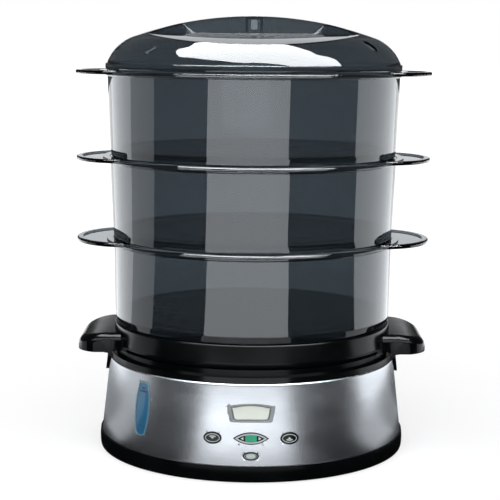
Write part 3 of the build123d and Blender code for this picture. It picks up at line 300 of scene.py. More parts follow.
def smooth(piece: bpy.types.Object, angle: float = 50.0) -> None:
    """Clean a finished mesh and shade it smoothly.

    Args:
        piece: the mesh object.
        angle: edges flatter than this many degrees are shaded smoothly, led by the larger faces.
    """
    with editing(piece):
        bpy.ops.mesh.quads_convert_to_tris(quad_method="BEAUTY", ngon_method="BEAUTY")
        bpy.ops.mesh.remove_doubles(threshold=SOLID_MERGE)
        bpy.ops.mesh.fill_holes(sides=SLIVER_SIDES)
        bpy.ops.mesh.normals_make_consistent(inside=False)
    pick(piece)
    bpy.ops.object.shade_smooth_by_angle(angle=math.radians(angle))
    finish_modifier(piece, "WEIGHTED_NORMAL", keep_sharp=True, weight=80)


def sliced(piece: bpy.types.Object, spot: Vector, normal: Vector) -> None:
    """Cut a piece by a plane, close it and keep the side that the normal points to."""
    with editing(piece):
        bpy.ops.mesh.bisect(plane_co=spot * MM, plane_no=normal, use_fill=True, clear_inner=True)


def sheet(name: str, outline: Sequence[Vector]) -> bpy.types.Object:
    """Flat sheet inside a closed chain of points in metres."""
    piece = traced(name, [*outline, outline[0]])
    with editing(piece):
        bpy.ops.mesh.edge_face_add()
    return piece


def soften_faces(piece: bpy.types.Object, normal: Vector, width: float, segments: int) -> None:
    """Round the edges of the faces that point one way.

    Args:
        piece: the mesh object.
        normal: the way the faces point.
        width: the rounding in millimetres.
        segments: facets in the rounding.
    """
    with editing(piece):
        bpy.ops.mesh.select_all(action="DESELECT")
        bpy.ops.mesh.select_mode(type="FACE")
        bpy.ops.object.mode_set(mode="OBJECT")
        for face in piece.data.polygons:
            face.select = face.normal.dot(normal) > FACING
        bpy.ops.object.mode_set(mode="EDIT")
        bpy.ops.mesh.region_to_loop()
        bpy.ops.mesh.bevel(offset=width * MM, segments=segments, affect="EDGES")


# ---------------------------------------------------------------- outlines on the panel


def oval(width: float, height: float, steps: int = 48) -> list[tuple[float, float]]:
    """Ellipse of a width and height."""
    turns = [math.tau * step / steps for step in range(steps)]
    return [(width / 2 * math.cos(t), height / 2 * math.sin(t)) for t in turns]


def eye(width: float, height: float, steps: int = 24) -> list[tuple[float, float]]:
    """Eye shape between two arcs."""
    radius = (width**2 + height**2) / (4 * height)
    reach = math.degrees(math.asin(width / 2 / radius))
    upper = arc_points((0, height / 2 - radius), radius, 90 - reach, 90 + reach, steps)
    lower = arc_points((0, radius - height / 2), radius, 270 - reach, 270 + reach, steps)
    return upper[:-1] + lower[:-1]


def boat(
    width: float, height: float, stretch: float = 1.5, blunt: float = 0.87
) -> list[tuple[float, float]]:
    """Upright window outline.

    Args:
        width: its greatest width.
        height: its height.
        stretch: how much taller the bowed sides' arcs are than the outline.
        blunt: how far the rounded ends reach to the sides.

    Returns:
        The outline's points.
    """
    radius = ((stretch * height) ** 2 + width**2) / (4 * width)
    points = []
    for x, y in oval(2 * width * blunt, height, 96):
        side = width / 2 - radius + math.sqrt(radius**2 - y**2)
        points.append((max(-side, min(side, x)), y))
    return points


def arched(
    width: float, height: float, rise: float = 2.2, taper: float = 0.055, corner: float = 2.4
) -> list[tuple[float, float]]:
    """Display outline.

    Args:
        width: its width at the shoulders.
        height: its height up to the crown.
        rise: how far the arched top stands above the shoulders.
        taper: how much the foot draws in on each side, as a share of the width.
        corner: radius of the two lower corners.

    Returns:
        The outline's points.
    """
    radius = width**2 / (8 * rise) + rise / 2
    half = width / 2
    shoulder = height / 2 - rise
    reach = math.degrees(math.asin((half - corner / 2) / radius))
    crown = arc_points((0, height / 2 - radius), radius, 90 - reach, 90 + reach, 16)
    foot = half - taper * width
    low = -height / 2
    lower = rounded([(-half, shoulder), (-foot, low, corner), (foot, low, corner), (half, shoulder)])
    bend_x, bend_y = half - 0.2, shoulder + 0.9
    return crown + [(-bend_x, bend_y)] + lower + [(bend_x, bend_y)]


# ---------------------------------------------------------------- finishes


def linear(code: str) -> tuple[float, float, float, float]:
    """Turn an sRGB hex code into linear red, green, blue and full alpha."""
    channels = [int(code[start : start + 2], 16) / 255 for start in (1, 3, 5)]
    red, green, blue = (c / 12.92 if c <= 0.04045 else ((c + 0.055) / 1.055) ** 2.4 for c in channels)
    return red, green, blue, 1.0


def add_node(
    tree: bpy.types.NodeTree, kind: str, inputs: dict | None = None, **settings: object
) -> bpy.types.Node:
    """Add a shader node.

    Args:
        tree: the material's node tree.
        kind: the node's type.
        inputs: a value, or another node's output to link, by input name or number.
        settings: the node's own settings.

    Returns:
        The new node.
    """
    made = tree.nodes.new(kind)
    for key, value in settings.items():
        setattr(made, key, value)
    for key, value in (inputs or {}).items():
        if isinstance(value, bpy.types.NodeSocket):
            tree.links.new(value, made.inputs[key])
        else:
            made.inputs[key].default_value = value
    return made


@dataclass(frozen=True)
class Finish:
    """A material and how its surface was made. Sizes are in millimetres."""

    name: str
    colour: str
    roughness: float

    def shader(self, tree: bpy.types.NodeTree) -> bpy.types.Node:
        """Add the surface shader and return it."""
        raise NotImplementedError

    def volume(self, tree: bpy.types.NodeTree) -> bpy.types.Node | None:
        """Add the shader of the inside, if the material needs one."""
        return None

    def rough(self, tree: bpy.types.NodeTree, value: bpy.types.NodeSocket) -> bpy.types.NodeSocket:
        """Let the roughness stray a little with a noise."""
        low, high = self.roughness - ROUGHNESS_SPREAD, self.roughness + ROUGHNESS_SPREAD
        return self.ranged(tree, value, low, high)

    def material(self) -> bpy.types.Material:
        """Return the material, made on its first use."""
        ready = bpy.data.materials.get(self.name)
        if ready is not None:
            return ready
        made = bpy.data.materials.new(self.name)
        made.use_nodes = True
        tree = made.node_tree
        tree.nodes.clear()
        output = add_node(tree, "ShaderNodeOutputMaterial", {"Surface": self.shader(tree).outputs[0]})
        inside = self.volume(tree)
        if inside is not None:
            tree.links.new(inside.outputs[0], output.inputs["Volume"])
        return made

    def noise(
        self, tree: bpy.types.NodeTree, size: Sequence[float], detail: float = 2.0
    ) -> bpy.types.NodeSocket:
        """Noise on the object's own coordinates.

        Args:
            tree: the material's node tree.
            size: the pattern's size along x, y and z in millimetres.
            detail: how many finer octaves it has.

        Returns:
            The noise's value socket.
        """
        place = add_node(tree, "ShaderNodeTexCoord")
        scale = add_node(
            tree,
            "ShaderNodeMapping",
            {"Vector": place.outputs["Object"], "Scale": [1 / (s * MM) for s in size]},
        )
        texture = add_node(
            tree,
            "ShaderNodeTexNoise",
            {"Vector": scale.outputs[0], "Scale": 1.0, "Detail": detail, "Roughness": NOISE_ROUGHNESS},
        )
        return texture.outputs["Fac"]

    def ranged(
        self, tree: bpy.types.NodeTree, value: bpy.types.NodeSocket, low: float, high: float
    ) -> bpy.types.NodeSocket:
        """Spread a noise over a range of values."""
        made = add_node(
            tree,
            "ShaderNodeMapRange",
            {"Value": value, "From Min": NOISE_LOW, "From Max": NOISE_HIGH, "To Min": low, "To Max": high},
        )
        return made.outputs[0]

    def tinted(
        self, tree: bpy.types.NodeTree, value: bpy.types.NodeSocket, other: str, share: float
    ) -> bpy.types.NodeSocket:
        """Mix the colour with a second one by a share of a noise."""
        amount = self.ranged(tree, value, 0.0, share)
        made = add_node(
            tree,
            "ShaderNodeMix",
            {"Factor": amount, "A": linear(self.colour), "B": linear(other)},
            data_type="RGBA",
        )
        return made.outputs["Result"]


@dataclass(frozen=True)
class MouldedPlastic(Finish):
    """Opaque injection-moulded plastic with the fine texture of its tool."""

    shade: str = "#1C2424"
    grain: float = 0.9
    depth: float = 0.02
    coat: float = 0.0
    specular: float = 0.5
    flow: float = 35.0

    def shader(self, tree: bpy.types.NodeTree) -> bpy.types.Node:
        """Plastic with a faint flow mottle and a fine grain."""
        grain = self.noise(tree, [self.grain] * 3, 3.0)
        flow = self.noise(tree, [self.flow] * 3)
        bump = add_node(
            tree,
            "ShaderNodeBump",
            {"Height": grain, "Strength": 0.6, "Distance": self.depth * MM},
        )
        return add_node(
            tree,
            "ShaderNodeBsdfPrincipled",
            {
                "Base Color": self.tinted(tree, flow, self.shade, 0.5),
                "Roughness": self.rough(tree, flow),
                "IOR": 1.5,
                "Specular IOR Level": self.specular,
                "Coat Weight": self.coat,
                "Coat Roughness": 0.05,
                "Normal": bump.outputs[0],
            },
        )


@dataclass(frozen=True)
class ClearPlastic(Finish):
    """Clear plastic moulded in a polished tool, with a tint that deepens with thickness."""

    tint: str = "#8E979E"
    density: float = 150.0
    ior: float = 1.53
    ripple: tuple[float, float, float] = (42.0, 42.0, 70.0)
    depth: float = 0.35

    def shader(self, tree: bpy.types.NodeTree) -> bpy.types.Node:
        """Clear surface with the faint ripple of a moulding."""
        ripple = self.noise(tree, self.ripple, 0.0)
        bump = add_node(
            tree,
            "ShaderNodeBump",
            {"Height": ripple, "Strength": 0.25, "Distance": self.depth * MM},
        )
        return add_node(
            tree,
            "ShaderNodeBsdfPrincipled",
            {
                "Base Color": linear(self.colour),
                "Roughness": self.roughness,
                "IOR": self.ior,
                "Transmission Weight": 1.0,
                "Normal": bump.outputs[0],
            },
        )

    def volume(self, tree: bpy.types.NodeTree) -> bpy.types.Node | None:
        """Tint by the way that light goes through."""
        return add_node(
            tree,
            "ShaderNodeVolumeAbsorption",
            {"Color": linear(self.tint), "Density": self.density},
        )


class Brushing(Enum):
    """Direction of a metal's fine scratches."""

    ROUND = (28.0, 28.0, 0.45)
    NONE = (1.5, 1.5, 1.5)


@dataclass(frozen=True)
class BareMetal(Finish):
    """Bare metal sheet, wire or screw."""

    shade: str = "#B4B7BA"
    brushing: Brushing = Brushing.NONE
    anisotropy: float = 0.0
    depth: float = 0.01
    cloud: tuple[float, float, float] = (60.0, 60.0, 25.0)

    def shader(self, tree: bpy.types.NodeTree) -> bpy.types.Node:
        """Metal with its scratches in height, roughness and tone."""
        scratch = self.noise(tree, self.brushing.value, 4.0)
        cloud = self.noise(tree, self.cloud)
        bump = add_node(
            tree,
            "ShaderNodeBump",
            {"Height": scratch, "Strength": 0.5, "Distance": self.depth * MM},
        )
        made = add_node(
            tree,
            "ShaderNodeBsdfPrincipled",
            {
                "Base Color": self.tinted(tree, scratch, self.shade, 0.3),
                "Metallic": 1.0,
                "Roughness": self.rough(tree, cloud),
                "Anisotropic": self.anisotropy,
                "Normal": bump.outputs[0],
            },
        )
        if self.anisotropy:
            tangent = add_node(tree, "ShaderNodeTangent", direction_type="RADIAL", axis="Z")
            tree.links.new(tangent.outputs[0], made.inputs["Tangent"])
        return made


# Polypropylene from a lightly textured tool: near black, a broad soft sheen.
BLACK_PP = MouldedPlastic(
    "black_polypropylene_moulded",
    "#040606",
    0.17,
    shade="#090D0E",
    grain=0.8,
    depth=0.004,
    specular=0.15,
)
# Styrene-acrylonitrile from a polished tool, smoke-tinted: clear face on, dark along its edges. The tint is
# partly painted shade, deeper than the plastic's own, so that the walls look dark as against a dark
# backdrop.
SAN_SMOKE_AND_PAINTED_SHADE = ClearPlastic("san_smoke_and_painted_shade", "#838B90", 0.02, tint="#8E9AA4")
# 430 stainless sheet brushed round the cone: reflections drawn out upwards in soft bands.
STAINLESS = BareMetal(
    "stainless_430_brushed",
    "#B9BCC0",
    0.24,
    shade="#A9ACB1",
    brushing=Brushing.ROUND,
    anisotropy=0.75,
)
# Polycarbonate tinted blue, in front of the water: deep colour under a clear gloss.
BLUE_PC = MouldedPlastic(
    "blue_polycarbonate_moulded", "#245879", 0.12, shade="#336E8F", depth=0.003, coat=0.2
)
# The window's edge in the same plastic, thinner over the steel: paler and a little milky.
PALE_PC = MouldedPlastic(
    "pale_polycarbonate_moulded", "#587988", 0.15, shade="#6B8B99", depth=0.003, coat=0.3
)
# ABS from a polished tool: black with a green cast and sharp reflections.
GLOSS_ABS = MouldedPlastic("gloss_abs_moulded", "#06110F", 0.12, shade="#0B1B18", depth=0.003, specular=0.2)
# Green acrylic light guide: saturated, with a polished face.
GREEN_PMMA = MouldedPlastic(
    "green_acrylic_moulded", "#0F7F5E", 0.12, shade="#1FA47E", depth=0.003, specular=0.25
)
# Reflective liquid crystal cell behind a clear cover: pale grey green.
LCD_CELL = MouldedPlastic(
    "lcd_cell_under_acrylic", "#D3D7CC", 0.2, shade="#C6CBBF", grain=0.5, depth=0.002, coat=0.6
)
# Pale grey ABS with a satin coat on the rings of the buttons and the rocker's band; its pale colour is a
# painted highlight along their raised lips.
HIGHLIGHT_PAINTED_ABS = MouldedPlastic(
    "pale_abs_painted_highlight", "#A4A8AA", 0.3, shade="#8C9092", grain=0.4, depth=0.003, coat=0.3
)
# ABS with a darker satin lacquer: the display's frame.
GREY_ABS = MouldedPlastic(
    "grey_lacquered_abs", "#74797B", 0.28, shade="#868B8D", grain=0.4, depth=0.003, coat=0.3
)
# Pad-printed ink on the push buttons.
PALE_INK = MouldedPlastic("pale_ink_pad_printed", "#AEBBB7", 0.4, shade="#9EACA8", depth=0.004)
# Dark ink on the gauge.
DARK_INK = MouldedPlastic("dark_ink_pad_printed", "#10202B", 0.4, shade="#182A36", depth=0.004)
# Moulded nitrile rubber: matt black.
RUBBER = MouldedPlastic("nitrile_rubber_moulded", "#151515", 0.8, shade="#1E1E1E", grain=1.2, depth=0.05)
# Silicone seal: milky and matt.
SILICONE = MouldedPlastic("silicone_moulded", "#BDBBB2", 0.55, shade="#AEACA3", grain=1.5, depth=0.02)
# ABS of the hidden frame.
PLAIN_ABS = MouldedPlastic("plain_abs_moulded", "#141517", 0.5, shade="#1D1F22", grain=1.0, depth=0.03)
# Glass-epoxy board under green solder mask.
SOLDER_MASK = MouldedPlastic(
    "solder_mask_on_glass_epoxy", "#0F4A2A", 0.35, shade="#176338", grain=2.0, depth=0.03
)
# Epoxy bodies of the transformer, thermostat, buzzer and switches.
BLACK_EPOXY = MouldedPlastic("black_epoxy_cast", "#17181A", 0.45, shade="#222326", grain=1.0, depth=0.04)
# Blue polyester case of the relay.
BLUE_PBT = MouldedPlastic("blue_pbt_moulded", "#1C4A8C", 0.35, shade="#255AA3", grain=1.0, depth=0.02)
# Green nylon body of the terminals.
GREEN_PA = MouldedPlastic("green_polyamide_moulded", "#1E6B3C", 0.4, shade="#27804A", grain=1.0, depth=0.02)
# Flat cable in grey PVC.
GREY_PVC = MouldedPlastic("grey_pvc_extruded", "#8B8E90", 0.5, shade="#7C7F81", grain=1.3, depth=0.05)
# Pressed aluminium, dull with drawing marks.
PRESSED_ALU = BareMetal("aluminium_pressed", "#C9CBCC", 0.38, shade="#AEB1B3", depth=0.02)
# Heater sheath and clips: annealed steel, browned by heat.
ANNEALED = BareMetal("steel_annealed", "#7E766E", 0.42, shade="#5F564E", depth=0.02)
# Screws with bright zinc.
ZINC = BareMetal("steel_zinc_plated", "#BFC4C8", 0.25, shade="#A3A9AE", depth=0.01)


def dress(piece: bpy.types.Object, finish: Finish) -> None:
    """Give a piece one finish all over."""
    piece.data.materials.clear()
    piece.data.materials.append(finish.material())


def place_piece(piece: bpy.types.Object, finish: Finish, body: str, slot: str, *nodes: str) -> None:
    """Dress a new piece, set it on its body and let it stand for its nodes.

    Args:
        piece: the finished mesh object.
        finish: its finish.
        body: the body it moves with.
        slot: not used.
        nodes: the nodes it stands for.
    """
    dress(piece, finish)
    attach(piece, body)
    if nodes:
        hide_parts(*nodes)
    LOG.info("%s: %d faces on %s", piece.name, len(piece.data.polygons), body)


# ---------------------------------------------------------------- sub-assemblies


@dataclass
class Skirt:
    """Conical steel skirt with its cut-outs. Sizes in millimetres."""

    low: float = 14.5
    high: float = 81.5
    low_radius: float = 135.1
    high_radius: float = 127.4
    foot: float = 11.5
    gauge: float = 0.8
    hem: float = 6.0
    edge: float = 1.2
    cut_edge: float = 0.3
    steps: int = 288
    rows: int = 21
    cone_top: float = 93.5
    cone_steps: int = 360
    bush_height: float = 27.0
    bush_hole: float = 13.0
    bush_reach: float = 6.0

    @property
    def slope(self) -> float:
        """How much the radius shrinks for each millimetre of height."""
        return (self.low_radius - self.high_radius) / (self.high - self.low)

    def radius(self, height: float) -> float:
        """Radius of the outer face at a height."""
        return self.low_radius - self.slope * (height - self.low)

    def place(self, azimuth: float, height: float) -> Matrix:
        """Place on the outer face: x to the right seen from outside, y up the slope, z outwards."""
        turn, tilt = math.radians(azimuth), math.atan(self.slope)
        radius = self.radius(height)
        across = Vector((-math.sin(turn), math.cos(turn), 0))
        out = Vector((math.cos(turn) * math.cos(tilt), math.sin(turn) * math.cos(tilt), math.sin(tilt)))
        up = out.cross(across)
        spot = Vector((radius * math.cos(turn), radius * math.sin(turn), height)) * MM
        return Matrix.Translation(spot) @ Matrix((across, up, out)).transposed().to_4x4()

    def face(self, low: float, high: float, inset: float) -> list[tuple[float, float]]:
        """Points up the sheet between two heights, in from its outer face."""
        heights = [low + (high - low) * row / self.rows for row in range(self.rows + 1)]
        return [(self.radius(height) - inset, height) for height in heights]

    def cone(self, proud: float) -> bpy.types.Object:
        """Solid cone that stands proud of the outer face by a few tenths."""
        lift = proud / math.cos(math.atan(self.slope))
        top = self.cone_top
        return turned(
            "cone_tool",
            [(0, 0), (self.radius(0) + lift, 0), (self.radius(top) + lift, top), (0, top)],
            self.cone_steps,
        )

    def bush_cutter(self) -> bpy.types.Object:
        """Solid of the cord bush's round hole at the back."""
        outline = oval(self.bush_hole, self.bush_hole)
        place = self.place(90.0, self.bush_height)
        return prism("cut_bush", outline, -self.bush_reach, self.bush_reach, place)

    def build(self, cutters: Sequence[bpy.types.Object]) -> bpy.types.Object:
        """Turn the shell, cut it and round its edges.

        Args:
            cutters: the solids to cut out, which are used up.

        Returns:
            The skirt.
        """
        sheet = self.gauge / math.cos(math.atan(self.slope))
        under = self.high - self.gauge
        outline = rounded(
            [
                *self.face(self.foot, self.high - 2 * self.edge, 0.0),
                (self.high_radius, self.high, self.edge),
                (self.high_radius - self.hem, self.high),
                (self.high_radius - self.hem, under),
                *reversed(self.face(self.foot, under, sheet)),
            ]
        )
        skirt = turned("steel_skirt_brushed", outline, self.steps)
        for cutter in cutters:
            combine(skirt, cutter, Join.CUT)
        softened(skirt, self.cut_edge, 3, 50)
        smooth(skirt)
        return skirt


@dataclass
class PushButton:
    """One oval push button: cap, pale ring painted as the highlight on its lip, dished face and its marks.
    """

    name: str
    body: str
    offset: tuple[float, float]
    size: tuple[float, float]
    marks: list[list[tuple[float, float]]]
    gap: float = 0.4
    proud: float = 0.7
    dish: float = 0.3
    rim: float = 2.0
    ring: tuple[float, float] = (1.25, 0.6)
    ring_proud: float = 0.1
    mark_proud: float = 0.12
    inlay: float = 8.0
    back: float = 9.0
    edge: float = 0.3
    ring_edge: float = 0.08


@dataclass
class Rocker:
    """Eye-shaped rocker: cap with a sunk well, pale band painted as the highlight along its lip, green lens
    and two arrows.

    The well, the band and its hole are given by how much narrower and lower they are than the cap.
    """

    size: tuple[float, float] = (29.8, 10.4)
    height: float = 37.2
    gap: float = 0.6
    back: float = 7.5
    proud: float = 0.7
    edge: float = 0.25
    well: tuple[float, float] = (7.0, 3.2)
    well_back: float = 3.0
    well_proud: float = 0.35
    band: tuple[float, float] = (1.6, 0.7)
    band_hole: tuple[float, float] = (6.4, 2.9)
    hole_back: float = 6.0
    band_back: float = 2.5
    band_proud: float = 0.8
    band_edge: float = 0.08
    lens: tuple[float, float] = (9.6, 6.4)
    lens_fit: tuple[float, float] = (0.98, 0.97)
    lens_back: float = 0.9
    lens_proud: float = 0.75
    lens_edge: float = 0.45
    bar_back: float = 2.0
    arrow: tuple[float, float, float] = (6.2, 8.6, 1.3)
    arrow_back: float = 2.0
    arrow_proud: float = 0.43

    def outline(self, less: tuple[float, float] = (0.0, 0.0)) -> list[tuple[float, float]]:
        """Eye inside the opening, or one that is narrower and lower than it."""
        width, height = (side - 2 * self.gap for side in self.size)
        return eye(width - less[0], height - less[1])


@dataclass
class ControlPanel:
    """Display, push buttons and rocker on the front of the skirt."""

    skirt: Skirt
    azimuth: float = -90.0
    height: float = 48.0
    cut_depth: float = 14.0
    tool_rise: float = 6.0
    display_height: float = 58.0
    display: tuple[float, float] = (39.6, 15.6)
    bezel_gap: float = 0.15
    bezel_back: float = 5.0
    bezel_sunk: float = 0.2
    bezel_edge: float = 0.15
    flare: tuple[float, float] = (1.4, 1.6)
    flare_rise: float = 1.2
    lens: tuple[float, float] = (31.6, 12.2)
    lens_depth: float = 2.4
    opening_back: float = 8.0
    cover_gap: float = 0.35
    cover_back: float = 4.2
    cover_edge: float = 0.35
    rocker: Rocker = field(default_factory=Rocker)
    buttons: list[PushButton] = field(default_factory=list)

    def __post_init__(self) -> None:
        """Lay out the three push buttons."""
        side = self.up(self.rocker.height)
        low_arc = arc_points((0, 3.4), 5.4, 238, 302, 10) + arc_points((0, 3.4), 4.8, 302, 238, 10)
        high_arc = [(x, -y) for x, y in low_arc]
        down = [(-1.9, 1.0), (1.9, 1.0), (0.0, -1.0)]
        up = [(-1.9, -1.0), (0.0, 1.0), (1.9, -1.0)]
        self.buttons = [
            PushButton("button_left", "left_button", (-31.8, side), (15.4, 10.4), [down, high_arc]),
            PushButton("button_right", "right_button", (31.8, side), (15.4, 10.4), [up, low_arc]),
            PushButton(
                "button_power",
                "power_button",
                (0.0, self.up(22.7)),
                (13.6, 7.3),
                [oval(8.2, 3.6, 32)],
                ring=(0.9, 0.45),
                rim=1.5,
            ),
        ]

    def up(self, height: float) -> float:
        """Distance up the panel from its middle to a height."""
        return (height - self.height) / math.cos(math.atan(self.skirt.slope))

    def shifted(self, outline: Outline, offset: tuple[float, float]) -> list[tuple[float, float]]:
        """Move an outline on the panel."""
        return [(x + offset[0], y + offset[1]) for x, y in outline]

    def block(
        self,
        name: str,
        outline: Outline,
        offset: tuple[float, float],
        low: float,
        high: float | None = None,
    ) -> bpy.types.Object:
        """Solid of an outline on the panel.

        Args:
            name: the new object's name.
            outline: points in millimetres round its own middle.
            offset: where its middle lies on the panel.
            low: its back, measured out from the panel.
            high: its front; none stands it clear of the panel.

        Returns:
            The solid.
        """
        high = self.tool_rise if high is None else high
        place = self.skirt.place(self.azimuth, self.height)
        return prism(name, self.shifted(outline, offset), low, high, place)

    def cutters(self) -> list[bpy.types.Object]:
        """Solids of the panel's openings."""
        openings = [
            ("cut_display", arched(*self.display), (0.0, self.up(self.display_height))),
            ("cut_rocker", eye(*self.rocker.size), (0.0, self.up(self.rocker.height))),
        ]
        openings += [("cut_button", oval(*button.size), button.offset) for button in self.buttons]
        return [self.block(*opening, -self.cut_depth, self.cut_depth) for opening in openings]

    def moulded(
        self, name: str, outline: Outline, offset: tuple[float, float], low: float, proud: float
    ) -> bpy.types.Object:
        """Solid of an outline whose face follows the skirt, a little proud or sunk."""
        piece = self.block(name, outline, offset, low)
        combine(piece, self.skirt.cone(proud), Join.KEEP)
        return piece

    def build_buttons(self) -> None:
        """Make the three push buttons."""
        for button in self.buttons:
            self.build_button(button)

    def build_button(self, button: PushButton) -> None:
        """Make one cap with its dished face, ring and marks."""
        width, height = (side - 2 * button.gap for side in button.size)
        spot, inlay = button.offset, -button.inlay
        cap = self.moulded(f"{button.name}_cap", oval(width, height), spot, -button.back, button.proud)
        dish = self.block("dish_tool", oval(width - 2 * button.rim, height - 2 * button.rim), spot, inlay)
        combine(dish, self.skirt.cone(button.proud - button.dish), Join.CUT)
        combine(cap, dish, Join.CUT)
        softened(cap, button.edge)
        smooth(cap)
        place_piece(cap, GLOSS_ABS, button.body, "button_plastic", button.name)
        # The ring's pale colour is a painted highlight on the cap's raised lip.
        edge, band = (2 * side for side in button.ring)
        outer = oval(width - edge, height - edge)
        ring = self.moulded(f"{button.name}_ring", outer, spot, inlay, button.proud + button.ring_proud)
        inner = oval(width - edge - band, height - edge - band)
        combine(ring, self.block("ring_tool", inner, spot, inlay * 1.5), Join.CUT)
        softened(ring, button.ring_edge, 2)
        smooth(ring)
        place_piece(ring, HIGHLIGHT_PAINTED_ABS, button.body, "button_plastic")
        for index, outline in enumerate(button.marks):
            proud = button.proud - button.dish + button.mark_proud
            mark = self.moulded(f"{button.name}_mark_{index}", outline, spot, inlay, proud)
            place_piece(mark, PALE_INK, button.body, "button_plastic")

    def build_rocker(self) -> None:
        """Make the rocker, its pale band of painted highlight, its green lens and the arrow at each end."""
        rocker = self.rocker
        spot = (0.0, self.up(rocker.height))
        half, tall = (side / 2 for side in rocker.lens)
        bar = [(-half, -tall), (half, -tall), (half, tall), (-half, tall)]
        cap = self.moulded("rocker_cap", rocker.outline(), spot, -rocker.back, rocker.proud)
        well = self.block("well_tool", rocker.outline(rocker.well), spot, -rocker.well_back)
        combine(well, self.skirt.cone(rocker.well_proud), Join.CUT)
        combine(cap, well, Join.CUT)
        combine(cap, self.block("lens_seat_tool", bar, spot, -rocker.lens_back), Join.CUT)
        softened(cap, rocker.edge)
        smooth(cap)
        place_piece(cap, GLOSS_ABS, "rocker", "button_plastic", "rocker_button")
        # The band's pale colour is a painted highlight along the cap's lip.
        band = self.moulded(
            "rocker_band", rocker.outline(rocker.band), spot, -rocker.band_back, rocker.band_proud
        )
        hole = self.block("band_tool", rocker.outline(rocker.band_hole), spot, -rocker.hole_back)
        combine(band, hole, Join.CUT)
        softened(band, rocker.band_edge, 2)
        smooth(band)
        place_piece(band, HIGHLIGHT_PAINTED_ABS, "rocker", "button_plastic")
        lens = self.moulded("rocker_lens", rocker.outline(), spot, -rocker.lens_back, rocker.lens_proud)
        bar = [(x * rocker.lens_fit[0], y * rocker.lens_fit[1]) for x, y in bar]
        combine(lens, self.block("lens_bar_tool", bar, spot, -rocker.bar_back), Join.KEEP)
        softened(lens, rocker.lens_edge)
        smooth(lens)
        place_piece(lens, GREEN_PMMA, "rocker", "green_lens", "indicator_lens")
        foot, tip, rise = rocker.arrow
        for name, side in (("rocker_mark_left", -1), ("rocker_mark_right", 1)):
            arrow = [(side * foot, -rise), (side * tip, 0.0), (side * foot, rise)]
            mark = self.moulded(name, arrow, spot, -rocker.arrow_back, rocker.arrow_proud)
            place_piece(mark, PALE_INK, "rocker", "button_plastic")

    def build_display(self) -> None:
        """Make the bezel with its flared sides and the cover over the cell."""
        spot = (0.0, self.up(self.display_height))
        width, height = self.display
        outline = arched(width - 2 * self.bezel_gap, height - 2 * self.bezel_gap)
        bezel = self.moulded("display_frame", outline, spot, -self.bezel_back, -self.bezel_sunk)
        combine(bezel, self.block("opening_tool", arched(*self.lens), spot, -self.opening_back), Join.CUT)
        width, height = width - self.flare[0], height - self.flare[1]
        flare = self.block("flare_tool", arched(width, height), spot, -self.lens_depth, self.flare_rise)
        with editing(flare):
            bpy.ops.mesh.select_all(action="DESELECT")
            bpy.ops.object.mode_set(mode="OBJECT")
            place = self.skirt.place(self.azimuth, self.height)
            out = place.to_3x3() @ Vector((0, 0, 1))
            for vertex in flare.data.vertices:
                depth = (vertex.co - place.translation).dot(out)
                vertex.select = depth < -self.lens_depth * MM / 2
            bpy.ops.object.mode_set(mode="EDIT")
            middle = place @ Vector((0, spot[1] * MM, -self.lens_depth * MM))
            bpy.ops.transform.resize(value=(self.lens[0] / width, 1, 1), center_override=middle)
            bpy.ops.transform.resize(value=(1, 1, self.lens[1] / height), center_override=middle)
        combine(bezel, flare, Join.CUT)
        softened(bezel, self.bezel_edge)
        smooth(bezel)
        place_piece(bezel, GREY_ABS, "base", "button_plastic", "display_bezel")
        outline = arched(self.lens[0] - 2 * self.cover_gap, self.lens[1] - 2 * self.cover_gap)
        cover = self.block("display_cover", outline, spot, -self.cover_back, -self.lens_depth)
        softened(cover, self.cover_edge)
        smooth(cover)
        place_piece(cover, LCD_CELL, "base", "lcd", "display_lens")


@dataclass
class LevelGauge:
    """Water-level window on the left of the skirt.

    Each level mark is given by its height, half its length and its thickness.
    """

    skirt: Skirt
    azimuth: float = -135.0
    height: float = 51.7
    size: tuple[float, float] = (18.4, 47.0)
    gap: float = 0.3
    rim: float = 1.2
    back: float = 4.0
    reach: float = 6.0
    edge_proud: float = 0.5
    edge_rounding: float = 0.4
    lens_gap: float = 0.05
    lens_proud: float = 0.15
    lens_rounding: float = 0.5
    mark_back: float = 1.0
    mark_proud: float = 0.2
    marks: tuple[tuple[float, float, float], ...] = ((14.2, 4.2, 0.9), (-15.0, 3.2, 0.7))
    arrow: tuple[tuple[float, float], ...] = ((-2.2, 18.0), (2.2, 18.0), (0.0, 15.8))

    def place(self) -> Matrix:
        """Where the window stands on the skirt."""
        return self.skirt.place(self.azimuth, self.height)

    def cutter(self) -> bpy.types.Object:
        """Solid of the window's opening."""
        return prism("cut_window", boat(*self.size), -self.reach, self.reach, self.place())

    def moulded(self, name: str, outline: Outline, low: float, proud: float) -> bpy.types.Object:
        """Solid of an outline whose face follows the skirt."""
        piece = prism(name, outline, low, self.reach, self.place())
        combine(piece, self.skirt.cone(proud), Join.KEEP)
        return piece

    def build(self) -> None:
        """Make the pale edge, the blue lens and the plain level marks."""
        width, height = (side - 2 * self.gap for side in self.size)
        edge = self.moulded("gauge_edge", boat(width, height), -self.back, self.edge_proud)
        width, height = width - 2 * self.rim, height - 2 * self.rim
        inner = prism("edge_tool", boat(width, height), -2 * self.back, 2 * self.back, self.place())
        combine(edge, inner, Join.CUT)
        softened(edge, self.edge_rounding, 2)
        smooth(edge)
        place_piece(edge, PALE_PC, "base", "blue_window", "level_window")
        outline = boat(width - 2 * self.lens_gap, height - 2 * self.lens_gap)
        lens = self.moulded("gauge_lens", outline, -self.back, self.lens_proud)
        softened(lens, self.lens_rounding, 2)
        smooth(lens)
        place_piece(lens, BLUE_PC, "base", "blue_window", "level_window")
        for index, (up, half, thick) in enumerate(self.marks):
            bar = [(-half, up), (half, up), (half, up + thick), (-half, up + thick)]
            mark = self.moulded(f"gauge_mark_{index}", bar, -self.mark_back, self.mark_proud)
            place_piece(mark, DARK_INK, "base", "blue_window")
        arrow = self.moulded("gauge_arrow", self.arrow, -self.mark_back, self.mark_proud)
        place_piece(arrow, DARK_INK, "base", "blue_window")


